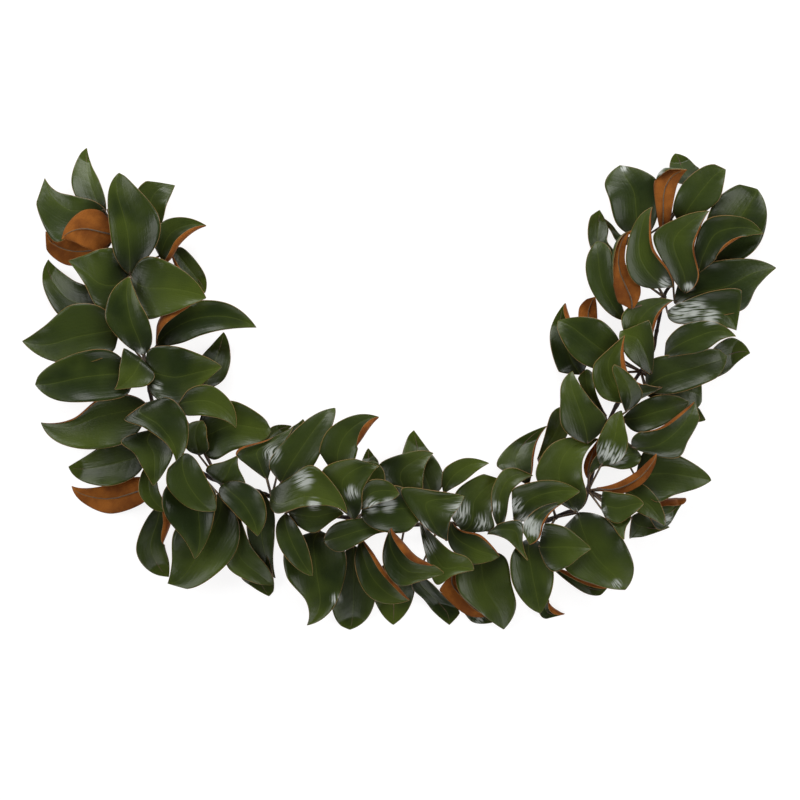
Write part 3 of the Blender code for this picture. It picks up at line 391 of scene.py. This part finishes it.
# %% The route and the stem's thickness
STEM_RADIUS = 4.5
STEM_END_RADIUS = 2.6
STEM_HEIGHT = 15.0
FINE_STEP = 2.0
STEM_ROUTE = [
    (-470, 291), (-466, 278), (-455, 245), (-432, 188), (-418, 110), (-412, 57), (-400, -12),
    (-385, -60), (-350, -108), (-300, -143), (-225, -165), (-150, -195), (-85, -205), (0, -216),
    (85, -215), (160, -226), (225, -213), (265, -198), (293, -185), (308, -138), (325, -80),
    (345, -30), (372, 8), (405, 60), (412, 92), (425, 152), (438, 176), (432, 215), (428, 252),
    (445, 300),
]


def smooth_route(points, spacing):
    """A smooth curve through the points, in steps of about the spacing."""
    points = [np.array(point, float) for point in points]
    ends = [2 * points[0] - points[1], *points, 2 * points[-1] - points[-2]]
    route = []
    for near in zip(ends, ends[1:], ends[2:], ends[3:]):
        steps = max(1, round(np.linalg.norm(near[2] - near[1]) / spacing))
        route += [bend(*near, step / steps) for step in range(steps)]
    return np.array(route + [points[-1]])


def stem_radius(share):
    """The stem's radius at a share of its length: it thins towards both ends."""
    edge = abs(2 * share - 1)
    return STEM_RADIUS - (STEM_RADIUS - STEM_END_RADIUS) * edge ** 3


print("stem length, mm:", round(len(smooth_route(STEM_ROUTE, FINE_STEP)) * FINE_STEP))

# %% [markdown]
# ## Laying the leaves down
# Leaves that lie in a heap rest on one another. Guessing a height for each would leave some cut through
# their neighbours, so the heights come from a rule: a map of small cells keeps the top of what already lies
# there, and each leaf, from the lowest layer up, rises by the least that clears it.

# %% A map of what lies on the floor
CELL = 3.0
EMPTY = -1000.0
HALF_SPAN = (640.0, 420.0)


class HeightMap:
    """The top and the underside of what lies on the surface, on a grid of small cells."""

    def __init__(self):
        self.shape = tuple(int(2 * half / CELL) for half in HALF_SPAN)
        self.top = np.full(self.shape, EMPTY)
        self.under = np.full(self.shape, -EMPTY)

    def cells(self, plan):
        places = ((plan + np.array(HALF_SPAN)) / CELL).astype(int)
        return np.clip(places[:, 0], 1, self.shape[0] - 2), np.clip(places[:, 1], 1, self.shape[1] - 2)

    def add(self, points):
        i, j = self.cells(points[:, :2])
        for a in (-1, 0, 1):
            for b in (-1, 0, 1):
                np.maximum.at(self.top, (i + a, j + b), points[:, 2])
                np.minimum.at(self.under, (i + a, j + b), points[:, 2])


# %% Points spread over a leaf and its stalk
SAMPLES_ALONG = 60
SAMPLES_ACROSS = 33
STALK_SAMPLES = 24


def between(grid, places, fine):
    """A grid refined along its first axis to the fine places, in straight lines."""
    index = np.clip(np.searchsorted(places, fine, side="right") - 1, 0, len(places) - 2)
    share = (fine - places[index]) / (places[index + 1] - places[index])
    return grid[index] + (grid[index + 1] - grid[index]) * share.reshape(-1, *[1] * (grid.ndim - 1))


def blade_samples(leaf):
    """Points spread over the coarse blade, and how far along it each one is."""
    grid = leaf.grid()
    columns = np.arange(grid.shape[1], dtype=float)
    t = np.linspace(0, 1, SAMPLES_ALONG)
    s = np.linspace(0, columns[-1], SAMPLES_ACROSS)
    fine = between(grid, leaf.rows(), t)
    fine = between(fine.transpose(1, 0, 2), columns, s).transpose(1, 0, 2)
    return fine.reshape(-1, 3), np.repeat(t, len(s))


def stalk_samples(leaf):
    """Points along the leaf's stalk, and how far along it each one is."""
    u = np.linspace(0, 1, STALK_SAMPLES)
    return leaf.root + np.multiply.outer(u, leaf.stalk_end() - leaf.root), u


# %% Seat the twigs on the stem
MESH_GAP = 0.3
BUD_RADIUS = 4.2
TWIG_RADIUS = 2.4
TWIG_LENGTH = 30.0
TWIG_SPACING = 42.0


def root_sprays(sprays, stem):
    """Seats each spray's twig on the stem, close to the bases of its leaves."""
    fine = smooth_route(stem, FINE_STEP)
    last = 0
    for leaves in sprays:
        middle = np.mean([leaf.base for leaf in leaves], axis=0)
        nearest = int(np.argmin(np.linalg.norm(fine - middle, axis=1)))
        last = max(nearest, last + int(TWIG_SPACING / FINE_STEP))
        back = max(0, last - int(TWIG_LENGTH / FINE_STEP))
        seat = STEM_HEIGHT + max(stem_radius(k / len(fine)) for k in (back, last))
        height = seat + MESH_GAP + BUD_RADIUS
        twig = fine[back:last + 1]
        for leaf in leaves:
            leaf.root = np.array((*fine[last], height))
            leaf.twig = np.column_stack([twig, np.full(len(twig), height)])


root_sprays(SPRAYS, STEM_ROUTE)
print("height of the first twig, mm:", round(SPRAYS[0][0].root[2], 1))

# %% Lay down every leaf
CLEARANCE = 3.0
OWN_JOIN = 0.2
STALK_RADIUS = 1.7
FREE_STALK = 0.3
TIP_SHARE = 0.97
MOST_RISE = 90
TIP_COST = 0.6


def least_lift(need, t, stalk_need, u):
    """The least rise of a leaf's base and tip that clears every point below it."""
    best = None
    inner = t < TIP_SHARE
    stalk = u > FREE_STALK
    for rise in range(MOST_RISE):
        if (need[~inner] > rise).any():
            continue
        base = np.max((need[inner] - rise * t[inner]) / (1 - t[inner]), initial=0.0)
        base = max(base, np.max(stalk_need[stalk] / u[stalk], initial=0.0))
        cost = base + TIP_COST * rise
        if best is None or cost < best[0]:
            best = (cost, base, rise)
    return best[1:]


def settle(sprays, stem):
    """Lays the leaves down from the lowest layer up, each as low as the ones under it allow."""
    maps = [HeightMap() for _ in sprays]
    stem_map = HeightMap()
    fine = smooth_route(stem, FINE_STEP)
    tops = np.full(len(fine), STEM_HEIGHT + STEM_RADIUS)
    for aside in (-STEM_RADIUS, 0.0, STEM_RADIUS):
        stem_map.add(np.column_stack([fine[:, 0] + aside, fine[:, 1], tops]))
        stem_map.add(np.column_stack([fine[:, 0], fine[:, 1] + aside, tops]))
    for own, leaves in zip(maps, sprays):
        own.add(leaves[0].twig)
    order = [(leaf.layer, k, leaf) for k, leaves in enumerate(sprays) for leaf in leaves]
    for _, number, leaf in sorted(order, key=lambda item: item[:2]):
        points, t = blade_samples(leaf)
        stalk, u = stalk_samples(leaf)
        need = np.zeros(len(t))
        stalk_need = np.zeros(len(u))
        for k, lower in enumerate([*maps, stem_map]):
            short = lower.top[lower.cells(points[:, :2])] + CLEARANCE - points[:, 2]
            if k == number:
                short[t < OWN_JOIN] = 0
            need = np.maximum(need, short)
            if k == number:
                continue
            cells = lower.cells(stalk[:, :2])
            short = lower.top[cells] + CLEARANCE + STALK_RADIUS - stalk[:, 2]
            passes = lower.under[cells] > stalk[:, 2] + CLEARANCE + STALK_RADIUS
            stalk_need = np.maximum(stalk_need, np.where(passes, 0, short))
        base_rise, tip_rise = least_lift(need, t, stalk_need, u)
        leaf.low += base_rise
        leaf.high += tip_rise
        maps[number].add(blade_samples(leaf)[0])
        stalk = stalk_samples(leaf)[0]
        maps[number].add(stalk + np.array((0, 0, STALK_RADIUS)))
        maps[number].add(stalk - np.array((0, 0, STALK_RADIUS)))


settle(SPRAYS, STEM_ROUTE)
print("highest leaf tip, mm:", round(max(leaf.high for leaves in SPRAYS for leaf in leaves)))

# %% [markdown]
# ## Short ways to a finish
# A material here is a small graph of nodes. A class with a few short methods makes the nodes and links
# them, so that each finish below reads as a recipe.

# %% Nodes and links


class Finish:
    """A material with one Principled shader, and short ways to make and link its nodes."""

    def __init__(self, name, colour, roughness):
        self.material = bpy.data.materials.new(name)
        self.material.use_nodes = True
        self.tree = self.material.node_tree
        self.shader = self.tree.nodes["Principled BSDF"]
        self.feed(self.shader, {"Base Color": colour, "Roughness": roughness})

    def feed(self, node, inputs):
        """Gives each of a node's inputs a link, a colour or a number."""
        for name, value in inputs.items():
            target = node.inputs[name]
            if isinstance(value, bpy.types.NodeSocket):
                self.tree.links.new(value, target)
            else:
                target.default_value = (*value, 1.0) if isinstance(value, tuple) else value

    def node(self, kind, inputs, **settings):
        """Makes a node of this kind, and gives its outputs."""
        node = self.tree.nodes.new("ShaderNode" + kind)
        for key, value in settings.items():
            setattr(node, key, value)
        self.feed(node, inputs)
        return node.outputs

    def carried(self, name):
        """What the mesh carries under this name."""
        return self.node("Attribute", {}, attribute_name=name)["Fac"]

    def product(self, first, second):
        return self.node("Math", {0: first, 1: second}, operation="MULTIPLY")[0]

    def total(self, *parts):
        """The sum of the parts, each a value and its share."""
        first, *others = (self.product(value, share) for value, share in parts)
        for other in others:
            first = self.node("Math", {0: first, 1: other}, operation="ADD")[0]
        return first

    def rise(self, value, low, high):
        """0 at low and 1 at high, smooth between them; low may be the larger one."""
        return self.node("MapRange", {0: value, 1: low, 2: high}, interpolation_type="SMOOTHSTEP")[0]

    def mix(self, share, first, second):
        """A mix of two colours by a share, 0 for the first and 1 for the second."""
        return self.node("Mix", {0: share, 6: first, 7: second}, data_type="RGBA")[2]

    def lay(self, body, layers):
        """The body's colour with layers over it, each a colour, where it lies and how much at most."""
        for colour, place, most in layers:
            body = self.mix(self.product(place, most), body, colour)
        return body

    def noise(self, scale, detail=3.0, roughness=0.55, place=None):
        """Soft spots, laid out in the object's own metres unless another place is given."""
        if place is None:
            place = self.node("TexCoord", {})["Object"]
        inputs = {"Vector": place, "Scale": scale, "Detail": detail, "Roughness": roughness}
        return self.node("TexNoise", inputs)[0]

    def bump(self, height, strength, distance):
        inputs = {"Height": height, "Strength": strength, "Distance": distance}
        self.feed(self.shader, {"Normal": self.node("Bump", inputs)[0]})


# %% [markdown]
# ## The upper side of a leaf
# The upper side is a dark waxy green, nearly black at the base and yellower in soft patches and at the
# outer margin. Side veins leave the midrib every centimetre and run forward. A few leaves near the stem get
# a painted highlight: pale grey streaks mixed into the colour along their creases, where glints would be.
# Six numbers that each point carries draw all this: the leaf's own tone, the share of its length, the way
# to the midrib, the place between two side veins, the way to the margin, and how strong the painted glint
# is.

# %% The green finish
# shine says where the pale painted highlight is laid into the colour
CARRIED = ("tone", "along", "across_mm", "side_vein", "edge_mm", "shine")
NEAR_BLACK = (0.008, 0.01, 0.004)
DARK_GREEN = (0.011, 0.0185, 0.003)
MID_GREEN = (0.024, 0.036, 0.006)
YELLOW_GREEN = (0.052, 0.072, 0.008)
MIDRIB_GREEN = (0.09, 0.115, 0.02)
MARGIN_TAN = (0.19, 0.105, 0.03)
# Painted highlight: the pale grey mixed into the leaf colour for glints near the stem
PAINTED_GLINT_GREY = (0.38, 0.4, 0.37)
PATCH_SCALE = 16.0
CLOUD_SCALE = 9.0
GRAIN_SCALE = 260.0
GLOSS_SCALE = 30.0
CREASE_SCALE = 1.6
CREASE_PACES = {"across_mm": 0.22, "along": 3.5, "tone": 40.0}
LEAST_ROUGH = 0.27
MOST_ROUGH = 0.4


def crease_pattern(finish):
    """Fine creases that run along the leaf, from 0 to 1, and differ from leaf to leaf."""
    parts = [finish.product(finish.carried(name), pace) for name, pace in CREASE_PACES.items()]
    return finish.noise(CREASE_SCALE, 3.0, 0.5, finish.node("CombineXYZ", dict(enumerate(parts)))[0])


def green_finish():
    finish = Finish("leaf_green", MID_GREEN, LEAST_ROUGH)
    tone, along, across, vein, edge, shine = (finish.carried(name) for name in CARRIED)
    shade = finish.total((finish.noise(PATCH_SCALE), 0.9), (tone, 0.45))
    clouds = finish.rise(finish.noise(CLOUD_SCALE, 2.0), 0.42, 0.68)
    creases = crease_pattern(finish)
    # Where the painted highlight goes: the glint spots, in streaks along the creases
    painted_glint = finish.product(shine, finish.rise(creases, 0.3, 0.62))
    body = finish.lay(finish.mix(finish.rise(shade, 0.45, 0.85), DARK_GREEN, MID_GREEN), [
        (YELLOW_GREEN, finish.product(clouds, finish.rise(along, 0.1, 0.7)), 0.75),
        (YELLOW_GREEN, finish.product(finish.rise(along, 0.45, 1.0), finish.rise(edge, 16.0, 0.0)), 0.5),
        (NEAR_BLACK, finish.rise(along, 0.45, 0.05), 0.7),
        (YELLOW_GREEN, finish.rise(across, 9.0, 0.5), 0.12),
        (YELLOW_GREEN, finish.rise(vein, 0.1, 0.0), 0.06),
        (MIDRIB_GREEN, finish.rise(across, 1.0, 0.4), 0.22),
        (MARGIN_TAN, finish.rise(edge, 0.75, 0.2), 0.7),
        # painted highlight: pale grey glints mixed into the colour
        (PAINTED_GLINT_GREY, finish.rise(painted_glint, 0.08, 0.75), 0.85),
    ])
    gloss = {0: finish.noise(GLOSS_SCALE), 3: LEAST_ROUGH, 4: MOST_ROUGH}
    rough = finish.node("MapRange", gloss)[0]
    finish.feed(finish.shader, {"Base Color": body, "Roughness": rough, "Specular IOR Level": 0.24})
    ridges = finish.rise(vein, 0.0, 0.35)
    height = finish.total((ridges, 0.3), (finish.noise(GRAIN_SCALE, 4.0), 0.3), (creases, 1.6))
    finish.bump(height, 0.4, 0.0006)
    return finish


GREEN_FINISH = green_finish()
print("nodes in the green finish:", len(GREEN_FINISH.tree.nodes))

# %% [markdown]
# ## The underside, the margin and the stalks
# Underneath, short rusty hairs make the leaf look like suede: hardly any gloss, a fine felt, a paler midrib.
# The cut edge of the blade is a thin tan line. Stalks are brown with some green in it, and the twigs are
# dark bark.

# %% The other finishes
RUST_DARK = (0.105, 0.029, 0.003)
RUST_LIGHT = (0.23, 0.074, 0.009)
RUST_RIB = (0.26, 0.1, 0.02)
RIM_TAN = (0.3, 0.15, 0.045)
STALK_BROWN = (0.11, 0.065, 0.02)
BARK_DARK = (0.01, 0.0065, 0.005)
BARK_LIGHT = (0.045, 0.03, 0.022)
RUST_SCALE = 30.0
FELT_SCALE = 900.0


def rust_finish():
    finish = Finish("leaf_rust", RUST_LIGHT, 0.82)
    felt = finish.noise(FELT_SCALE, 2.0)
    body = finish.mix(finish.rise(finish.noise(RUST_SCALE), 0.3, 0.7), RUST_DARK, RUST_LIGHT)
    body = finish.lay(body, [
        (RUST_DARK, finish.rise(felt, 0.4, 0.7), 0.35),
        (RUST_RIB, finish.rise(finish.carried("across_mm"), 2.0, 0.7), 0.7),
        (RUST_RIB, finish.rise(finish.carried("side_vein"), 0.12, 0.0), 0.2),
    ])
    hairs = {"Sheen Weight": 0.06, "Sheen Roughness": 0.5, "Specular IOR Level": 0.12}
    finish.feed(finish.shader, {"Base Color": body, **hairs})
    finish.bump(felt, 0.35, 0.0005)
    return finish


def speckled_finish(name, dark, light, roughness, scale, depth):
    finish = Finish(name, light, roughness)
    grain = finish.noise(scale, 5.0, 0.65)
    finish.feed(finish.shader, {"Base Color": finish.mix(finish.rise(grain, 0.35, 0.7), dark, light)})
    finish.bump(grain, 0.7, depth)
    return finish


RUST_FINISH = rust_finish()
RIM_FINISH = speckled_finish("leaf_rim", MARGIN_TAN, RIM_TAN, 0.6, 400.0, 0.0003)
STALK_FINISH = speckled_finish("stalk_skin", BARK_LIGHT, STALK_BROWN, 0.6, 300.0, 0.0004)
BARK_FINISH = speckled_finish("stem_bark", BARK_DARK, BARK_LIGHT, 0.85, 160.0, 0.0012)
print("finishes:", len(bpy.data.materials))

# %% [markdown]
# ## What each leaf carries
# Noise alone would give every leaf the same look, so each gets a number of its own. The painted glints are
# few, pale highlights painted where leaves press together near the stem, so they are a short list.

# %% A leaf's own number, and its painted glint
SEED_MIX = (12.9898, 78.233, 3.7)
SEED_SCALE = 43758.5453
# Where a pale highlight is painted on the leaves: x, y and how far it spreads, in millimetres
PAINTED_GLINT_SPOTS = [
    (-153, -142, 15), (-136, -182, 10), (-77, -163, 11), (-45, -184, 12), (-18, -184, 12), (98, -195, 17),
    (131, -212, 13), (45, -250, 12), (34, -220, 10), (153, -187, 9), (202, -212, 14), (215, -222, 14),
    (-204, -102, 13), (127, -367, 9), (-102, -335, 9), (450, 128, 18), (474, 128, 18), (496, 117, 14),
    (423, 171, 9), (462, 164, 8), (360, 358, 7), (415, 347, 9), (330, -98, 15), (348, -108, 15),
    (314, -167, 9), (318, -192, 10), (278, -197, 9), (432, -210, 8), (186, -184, 12), (347, -311, 8),
    (-413, 60, 7), (-387, 5, 8),
]


def seed_of(leaf):
    """A number from 0 to 1 that the leaf keeps."""
    own = leaf.base[0] * SEED_MIX[0] + leaf.base[1] * SEED_MIX[1] + leaf.length * SEED_MIX[2]
    mixed = math.sin(own) * SEED_SCALE
    return mixed - math.floor(mixed)


def painted_glint_at(points):
    """How strong the painted highlight is at the points, from 0 to 1."""
    shine = np.zeros(len(points))
    for x, y, spread in PAINTED_GLINT_SPOTS:
        away = np.hypot(points[:, 0] - x, points[:, 1] - y) / spread
        shine = np.maximum(shine, np.exp(-away ** 2))
    return shine


print("first leaf's own number:", round(seed_of(SPRAYS[0][0]), 3))

# %% [markdown]
# ## A fine leaf
# A flat grid is the quickest start for a blade: create_grid gives its faces, and only its points move. The
# columns crowd towards the midrib, where a narrow groove runs. A turned edge follows an arc and then lies
# back over the blade, which brings the rust side to the light.

# %% Bend a flat grid into a leaf
GRID_ACROSS = 22
GRID_ALONG = 40
CROWDING = 1.35
GROOVE_DEPTH = 0.35
GROOVE_WIDTH = 1.6
MARGIN_WAVE = 0.022
WAVE_PACES = (21.0, 6.28, 1.3)
VEIN_SPACING = 11.0
VEIN_SLANT = 0.6
VEIN_CURVE = 0.004
ROLL_ARC = 2.6
ROLL_FLAT = 3.2
ROLL_START = 0.72
ARC_SHARE = 0.25
EDGE_HELD = 0.95
FINE_BLADE = 0.7


def turn_edge(leaf, t, q):
    """Points of a side whose edge is turned over: q runs from the midrib, 0, to that edge, 1."""
    width = leaf.rolled_width(t)
    radius = ARC_SHARE * width
    share = width / leaf.rolled
    held = np.minimum(q / ROLL_START, 1) * EDGE_HELD
    points = leaf.surface(t, leaf.side * (share * held + (1 - share) * q))
    w = np.clip((q - ROLL_START) / (1 - ROLL_START), 0, 1) * (ROLL_ARC + ROLL_FLAT)
    angle = np.minimum(w, ROLL_ARC)
    straight = np.maximum(w - ROLL_ARC, 0)
    out = radius * (np.sin(angle) + straight * math.cos(ROLL_ARC))
    up = radius * (1 - np.cos(angle) + straight * math.sin(ROLL_ARC))
    points[..., :2] += (leaf.side * out)[..., None] * leaf.left
    points[..., 2] += up
    return points


def fine_points(leaf, u, t):
    """Where the flat grid's points go, and what each carries for the finishes, as in CARRIED."""
    q = 2 * u - 1
    q = np.sign(q) * np.abs(q) ** CROWDING
    if not leaf.rust:
        q = -q
    h = np.linalg.norm(leaf.halves(t, q)[1], axis=-1)
    points = leaf.surface(t, q)
    across = np.abs(q) * h
    if leaf.rolled:
        side = q * leaf.side
        rolled = side > 0
        points[rolled] = turn_edge(leaf, t[rolled], side[rolled])
    seed = seed_of(leaf)
    fade = np.sin(np.pi * np.clip(t, 0, 1)) ** 0.5
    phase = WAVE_PACES[0] * t + WAVE_PACES[1] * seed + WAVE_PACES[2] * q
    wave = 2 * MARGIN_WAVE * h * np.abs(q) ** 4 * np.sin(phase)
    sunk = GROOVE_DEPTH * np.exp(-(across / GROOVE_WIDTH) ** 2) * fade
    points[:, 2] += wave * fade + (sunk if leaf.rust else -sunk)
    points[:, 2] = np.maximum(points[:, 2], 0.5 * FINE_BLADE)
    vein = (t * leaf.length - VEIN_SLANT * across + VEIN_CURVE * across ** 2) / VEIN_SPACING
    vein = np.abs(vein - np.round(vein))
    edge = (1 - np.abs(q)) * h
    # The last value is the painted highlight, a pale glint laid into the colour
    return points, (np.full(len(t), seed), t, across, vein, edge, painted_glint_at(points))


def add_leaf(mesh, leaf):
    """Adds one blade to a bmesh, as a single sheet that gets its thickness later."""
    made = bmesh.ops.create_grid(mesh, x_segments=GRID_ACROSS, y_segments=GRID_ALONG, size=0.5)
    verts = made["verts"]
    flat = np.array([vert.co[:2] for vert in verts])
    points, carried = fine_points(leaf, flat[:, 0] + 0.5, flat[:, 1] + 0.5)
    layers = [mesh.verts.layers.float[name] for name in CARRIED]
    for k, vert in enumerate(verts):
        vert.co = Vector(points[k]) * MM
        for layer, values in zip(layers, carried):
            vert[layer] = values[k]


# %% [markdown]
# ## Stalks, twigs and the stem
# A branch is a ring swept along a line. The ring is extruded once for each point of the line, moved there
# and turned to face along it, and the ends are filled. Its radius changes along the way, with small knobs
# where leaves once grew.

# %% Sweep a ring along a line


def sweep(mesh, points, radii, sides, material=0):
    """A closed branch through the points, in millimetres."""
    points = [Vector(point) for point in points]
    old_faces = set(mesh.faces)
    facing = (points[1] - points[0]).to_track_quat("Z", "Y")
    matrix = Matrix.LocRotScale(points[0] * MM, facing, None)
    ring = bmesh.ops.create_circle(mesh, segments=sides, radius=radii[0] * MM, matrix=matrix)["verts"]
    edges = list(dict.fromkeys(edge for vert in ring for edge in vert.link_edges))
    bmesh.ops.holes_fill(mesh, edges=edges, sides=sides)
    for k in range(1, len(points)):
        ahead = points[min(k + 1, len(points) - 1)] - points[k - 1]
        turned = facing.to_matrix() @ Vector((0, 0, 1))
        swing = turned.rotation_difference(ahead.normalized())
        made = bmesh.ops.extrude_edge_only(mesh, edges=edges)["geom"]
        ring = [item for item in made if isinstance(item, bmesh.types.BMVert)]
        edges = [item for item in made if isinstance(item, bmesh.types.BMEdge)]
        grow = radii[k] / radii[k - 1]
        move = Matrix.LocRotScale(points[k] * MM, swing, (grow, grow, grow))
        bmesh.ops.transform(mesh, matrix=move @ Matrix.Translation(-points[k - 1] * MM), verts=ring)
        facing = swing @ facing
    bmesh.ops.holes_fill(mesh, edges=edges, sides=sides)
    for face in mesh.faces:
        if face not in old_faces:
            face.material_index = material
            face.smooth = True


def new_piece(name, mesh, finishes):
    """Makes the bmesh an object at the origin, with its finishes."""
    data = bpy.data.meshes.new(name)
    mesh.to_mesh(data)
    mesh.free()
    piece = bpy.data.objects.new(name, data)
    bpy.context.scene.collection.objects.link(piece)
    for finish in finishes:
        data.materials.append(finish.material)
    return piece


def finish_piece(name, mesh, finishes, node=None):
    """A piece that rides on the garland's body, and stands for a node if one is named."""
    piece = new_piece(name, mesh, finishes)
    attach(piece, "root")
    if node:
        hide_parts(node)
    return piece


# %% The stem
STEM_SIDES = 20
STEM_STEP = 4.0
KNOB_EVERY = 46.0
KNOB_HEIGHT = 0.22
KNOB_WIDTH = 3.5
UNEVEN = 0.07
UNEVEN_PACES = (17.0, 7.3)


def bent_stem():
    route = smooth_route(STEM_ROUTE, STEM_STEP)
    share = np.linspace(0, 1, len(route))
    along = share * len(route) * STEM_STEP
    knob = np.exp(-(((along % KNOB_EVERY) - 0.5 * KNOB_EVERY) / KNOB_WIDTH) ** 2)
    uneven = 1 + UNEVEN * np.sin(along / UNEVEN_PACES[0]) * np.sin(along / UNEVEN_PACES[1])
    radii = stem_radius(share) * uneven * (1 - KNOB_HEIGHT + KNOB_HEIGHT * knob)
    points = np.column_stack([route, np.full(len(route), STEM_HEIGHT)])
    mesh = bmesh.new()
    sweep(mesh, points, radii, STEM_SIDES)
    bmesh.ops.recalc_face_normals(mesh, faces=mesh.faces)
    return finish_piece("bent_stem", mesh, [BARK_FINISH], "stem")


stem = bent_stem()
print("stem faces:", len(stem.data.polygons))

# %% [markdown]
# ## The sprays
# Each spray is built in one go: all its blades in one sheet mesh, which a Solidify modifier makes leaves
# with an upper side, an underside and a rim, and its twig and stalks in a second mesh. The underside's
# midrib stands up as a thin ridge that runs on from the stalk.

# %% The stalk of a leaf
RIB_PLACES = (0.08, 0.16, 0.25, 0.35, 0.45, 0.55, 0.65, 0.75, 0.84, 0.91)
RIB_RADIUS = 1.4
RIB_END_RADIUS = 0.3
STALK_SIDES = 8
STALK_BEND = 0.35
STALK_RADII = (2.3, 2.0, 1.8, 1.7, 1.6)
SHORT_STALK = 14.0
SHORT_STALK_RADII = (2.2, 1.7)


def leaf_stalk(mesh, leaf):
    """The stalk from the twig to the blade, and the rib that carries on under the blade."""
    root = Vector(leaf.root)
    base = Vector(leaf.surface(np.array(0.0), np.array(0.0)))
    start = root.lerp(base, STALK_BEND)
    start.z = max(start.z, root.z)
    under = 1.0 if leaf.rust else -1.0
    points = [root, root.lerp(start, 0.5), start, base.lerp(start, STALK_BEND), base]
    radii = [*STALK_RADII]
    if (base - root).length < SHORT_STALK:
        points, radii = [root, base], [*SHORT_STALK_RADII]
    for place in RIB_PLACES:
        radius = RIB_RADIUS + (RIB_END_RADIUS - RIB_RADIUS) * place
        spot = Vector(leaf.surface(np.array(place), np.array(0.0)))
        spot.z = max(spot.z + under * (radius + GROOVE_DEPTH), radius)
        points.append(spot)
        radii.append(radius)
    sweep(mesh, points, radii, STALK_SIDES, 1)


# %% Build every spray
TWIG_SIDES = 10
TWIG_THINNING = 0.7
TWIG_STEPS = 4


def build_blades(name, leaves):
    sheets = bmesh.new()
    for carried in CARRIED:
        sheets.verts.layers.float.new(carried)
    for leaf in leaves:
        add_leaf(sheets, leaf)
    for face in sheets.faces:
        face.smooth = True
    finishes = [GREEN_FINISH, RUST_FINISH, RIM_FINISH]
    blades = finish_piece(name + "_leaves", sheets, finishes, name)
    solid = blades.modifiers.new("thickness", "SOLIDIFY")
    solid.thickness = FINE_BLADE * MM
    solid.offset = 0.0
    solid.material_offset = 1
    solid.material_offset_rim = 2
    return blades


def build_stalks(name, leaves):
    branch = bmesh.new()
    twig = leaves[0].twig[::-TWIG_STEPS][::-1] - np.array((0, 0, BUD_RADIUS - TWIG_RADIUS))
    radii = np.linspace(TWIG_THINNING * TWIG_RADIUS, TWIG_RADIUS, len(twig))
    sweep(branch, twig, radii, TWIG_SIDES)
    bud = bmesh.ops.create_icosphere(branch, subdivisions=2, radius=BUD_RADIUS * MM)["verts"]
    bmesh.ops.translate(branch, verts=bud, vec=Vector(leaves[0].root) * MM)
    for leaf in leaves:
        leaf_stalk(branch, leaf)
    bmesh.ops.recalc_face_normals(branch, faces=branch.faces)
    finish_piece(name + "_stalks", branch, [BARK_FINISH, STALK_FINISH])


for number, leaves in enumerate(SPRAYS, start=1):
    name = f"spray_{number:02d}"
    built = build_blades(name, leaves)
    build_stalks(name, leaves)
print("last spray:", built.name, "sheet faces:", len(built.data.polygons))

# %% [markdown]
# ## Floor, light and camera
# The garland lies on a plain white floor under soft light. The floor glows a little, so that shadows on it
# stay faint. Large lights stand round the garland and not above it: waxy leaves that lie flat then mirror
# the dark above and stay deep green, and the tilted ones catch the lights. The camera looks straight down.

# %% The floor
FLOOR_SIZE = 14.0
FLOOR_GREY = 0.22
FLOOR_GLOW = 0.85
FLOOR_DROP = 0.0004


def white_floor():
    mesh = bmesh.new()
    bmesh.ops.create_grid(mesh, x_segments=1, y_segments=1, size=0.5 * FLOOR_SIZE)
    bmesh.ops.translate(mesh, verts=mesh.verts, vec=(0, 0, -FLOOR_DROP))
    finish = Finish("floor_white", (FLOOR_GREY, FLOOR_GREY, FLOOR_GREY), 0.9)
    glow = {"Emission Color": (1.0, 1.0, 1.0), "Emission Strength": FLOOR_GLOW}
    finish.feed(finish.shader, {"Specular IOR Level": 0.1, **glow})
    new_piece("floor", mesh, [finish])


white_floor()
print("floor side, m:", FLOOR_SIZE)

# %% The lights
# Each light's place, its width and height, and its power in watts; all look at the garland's middle
LIGHTS = {
    "far_light": ((0.0, 2.3, 1.5), (2.6, 0.9), 75),
    "left_light": ((-2.2, 0.3, 1.6), (1.6, 1.4), 40),
    "right_light": ((2.2, 0.2, 1.6), (1.6, 1.4), 36),
    "near_light": ((0.2, -2.4, 1.7), (2.0, 1.2), 30),
}
DIM_SKY = (0.9, 0.93, 1.0, 1.0)
SKY_STRENGTH = 0.06

for name, (place, size, power) in LIGHTS.items():
    data = bpy.data.lights.new(name, "AREA")
    data.shape = "RECTANGLE"
    data.size, data.size_y = size
    data.energy = power
    light = bpy.data.objects.new(name, data)
    light.location = place
    light.rotation_euler = (Vector((0, 0, 0)) - Vector(place)).to_track_quat("-Z", "Y").to_euler()
    bpy.context.scene.collection.objects.link(light)

world = bpy.data.worlds.new("studio")
world.use_nodes = True
background = world.node_tree.nodes["Background"]
background.inputs["Color"].default_value = DIM_SKY
background.inputs["Strength"].default_value = SKY_STRENGTH
bpy.context.scene.world = world
bpy.context.scene.view_settings.view_transform = "Standard"
print("lights:", len(LIGHTS))

# %% The camera
PHOTO_WIDTH = 1.28
PHOTO_MIDDLE = (0.0, -0.016)
LENS = 180.0
SENSOR = 36.0
LOOK_HEIGHT = 0.045

camera_data = bpy.data.cameras.new("camera")
camera_data.lens = LENS
camera_data.sensor_width = SENSOR
camera = bpy.data.objects.new("camera", camera_data)
camera.location = (*PHOTO_MIDDLE, LOOK_HEIGHT + PHOTO_WIDTH * LENS / SENSOR)
bpy.context.scene.collection.objects.link(camera)
bpy.context.scene.camera = camera
print("camera height, m:", round(camera.location.z, 2))
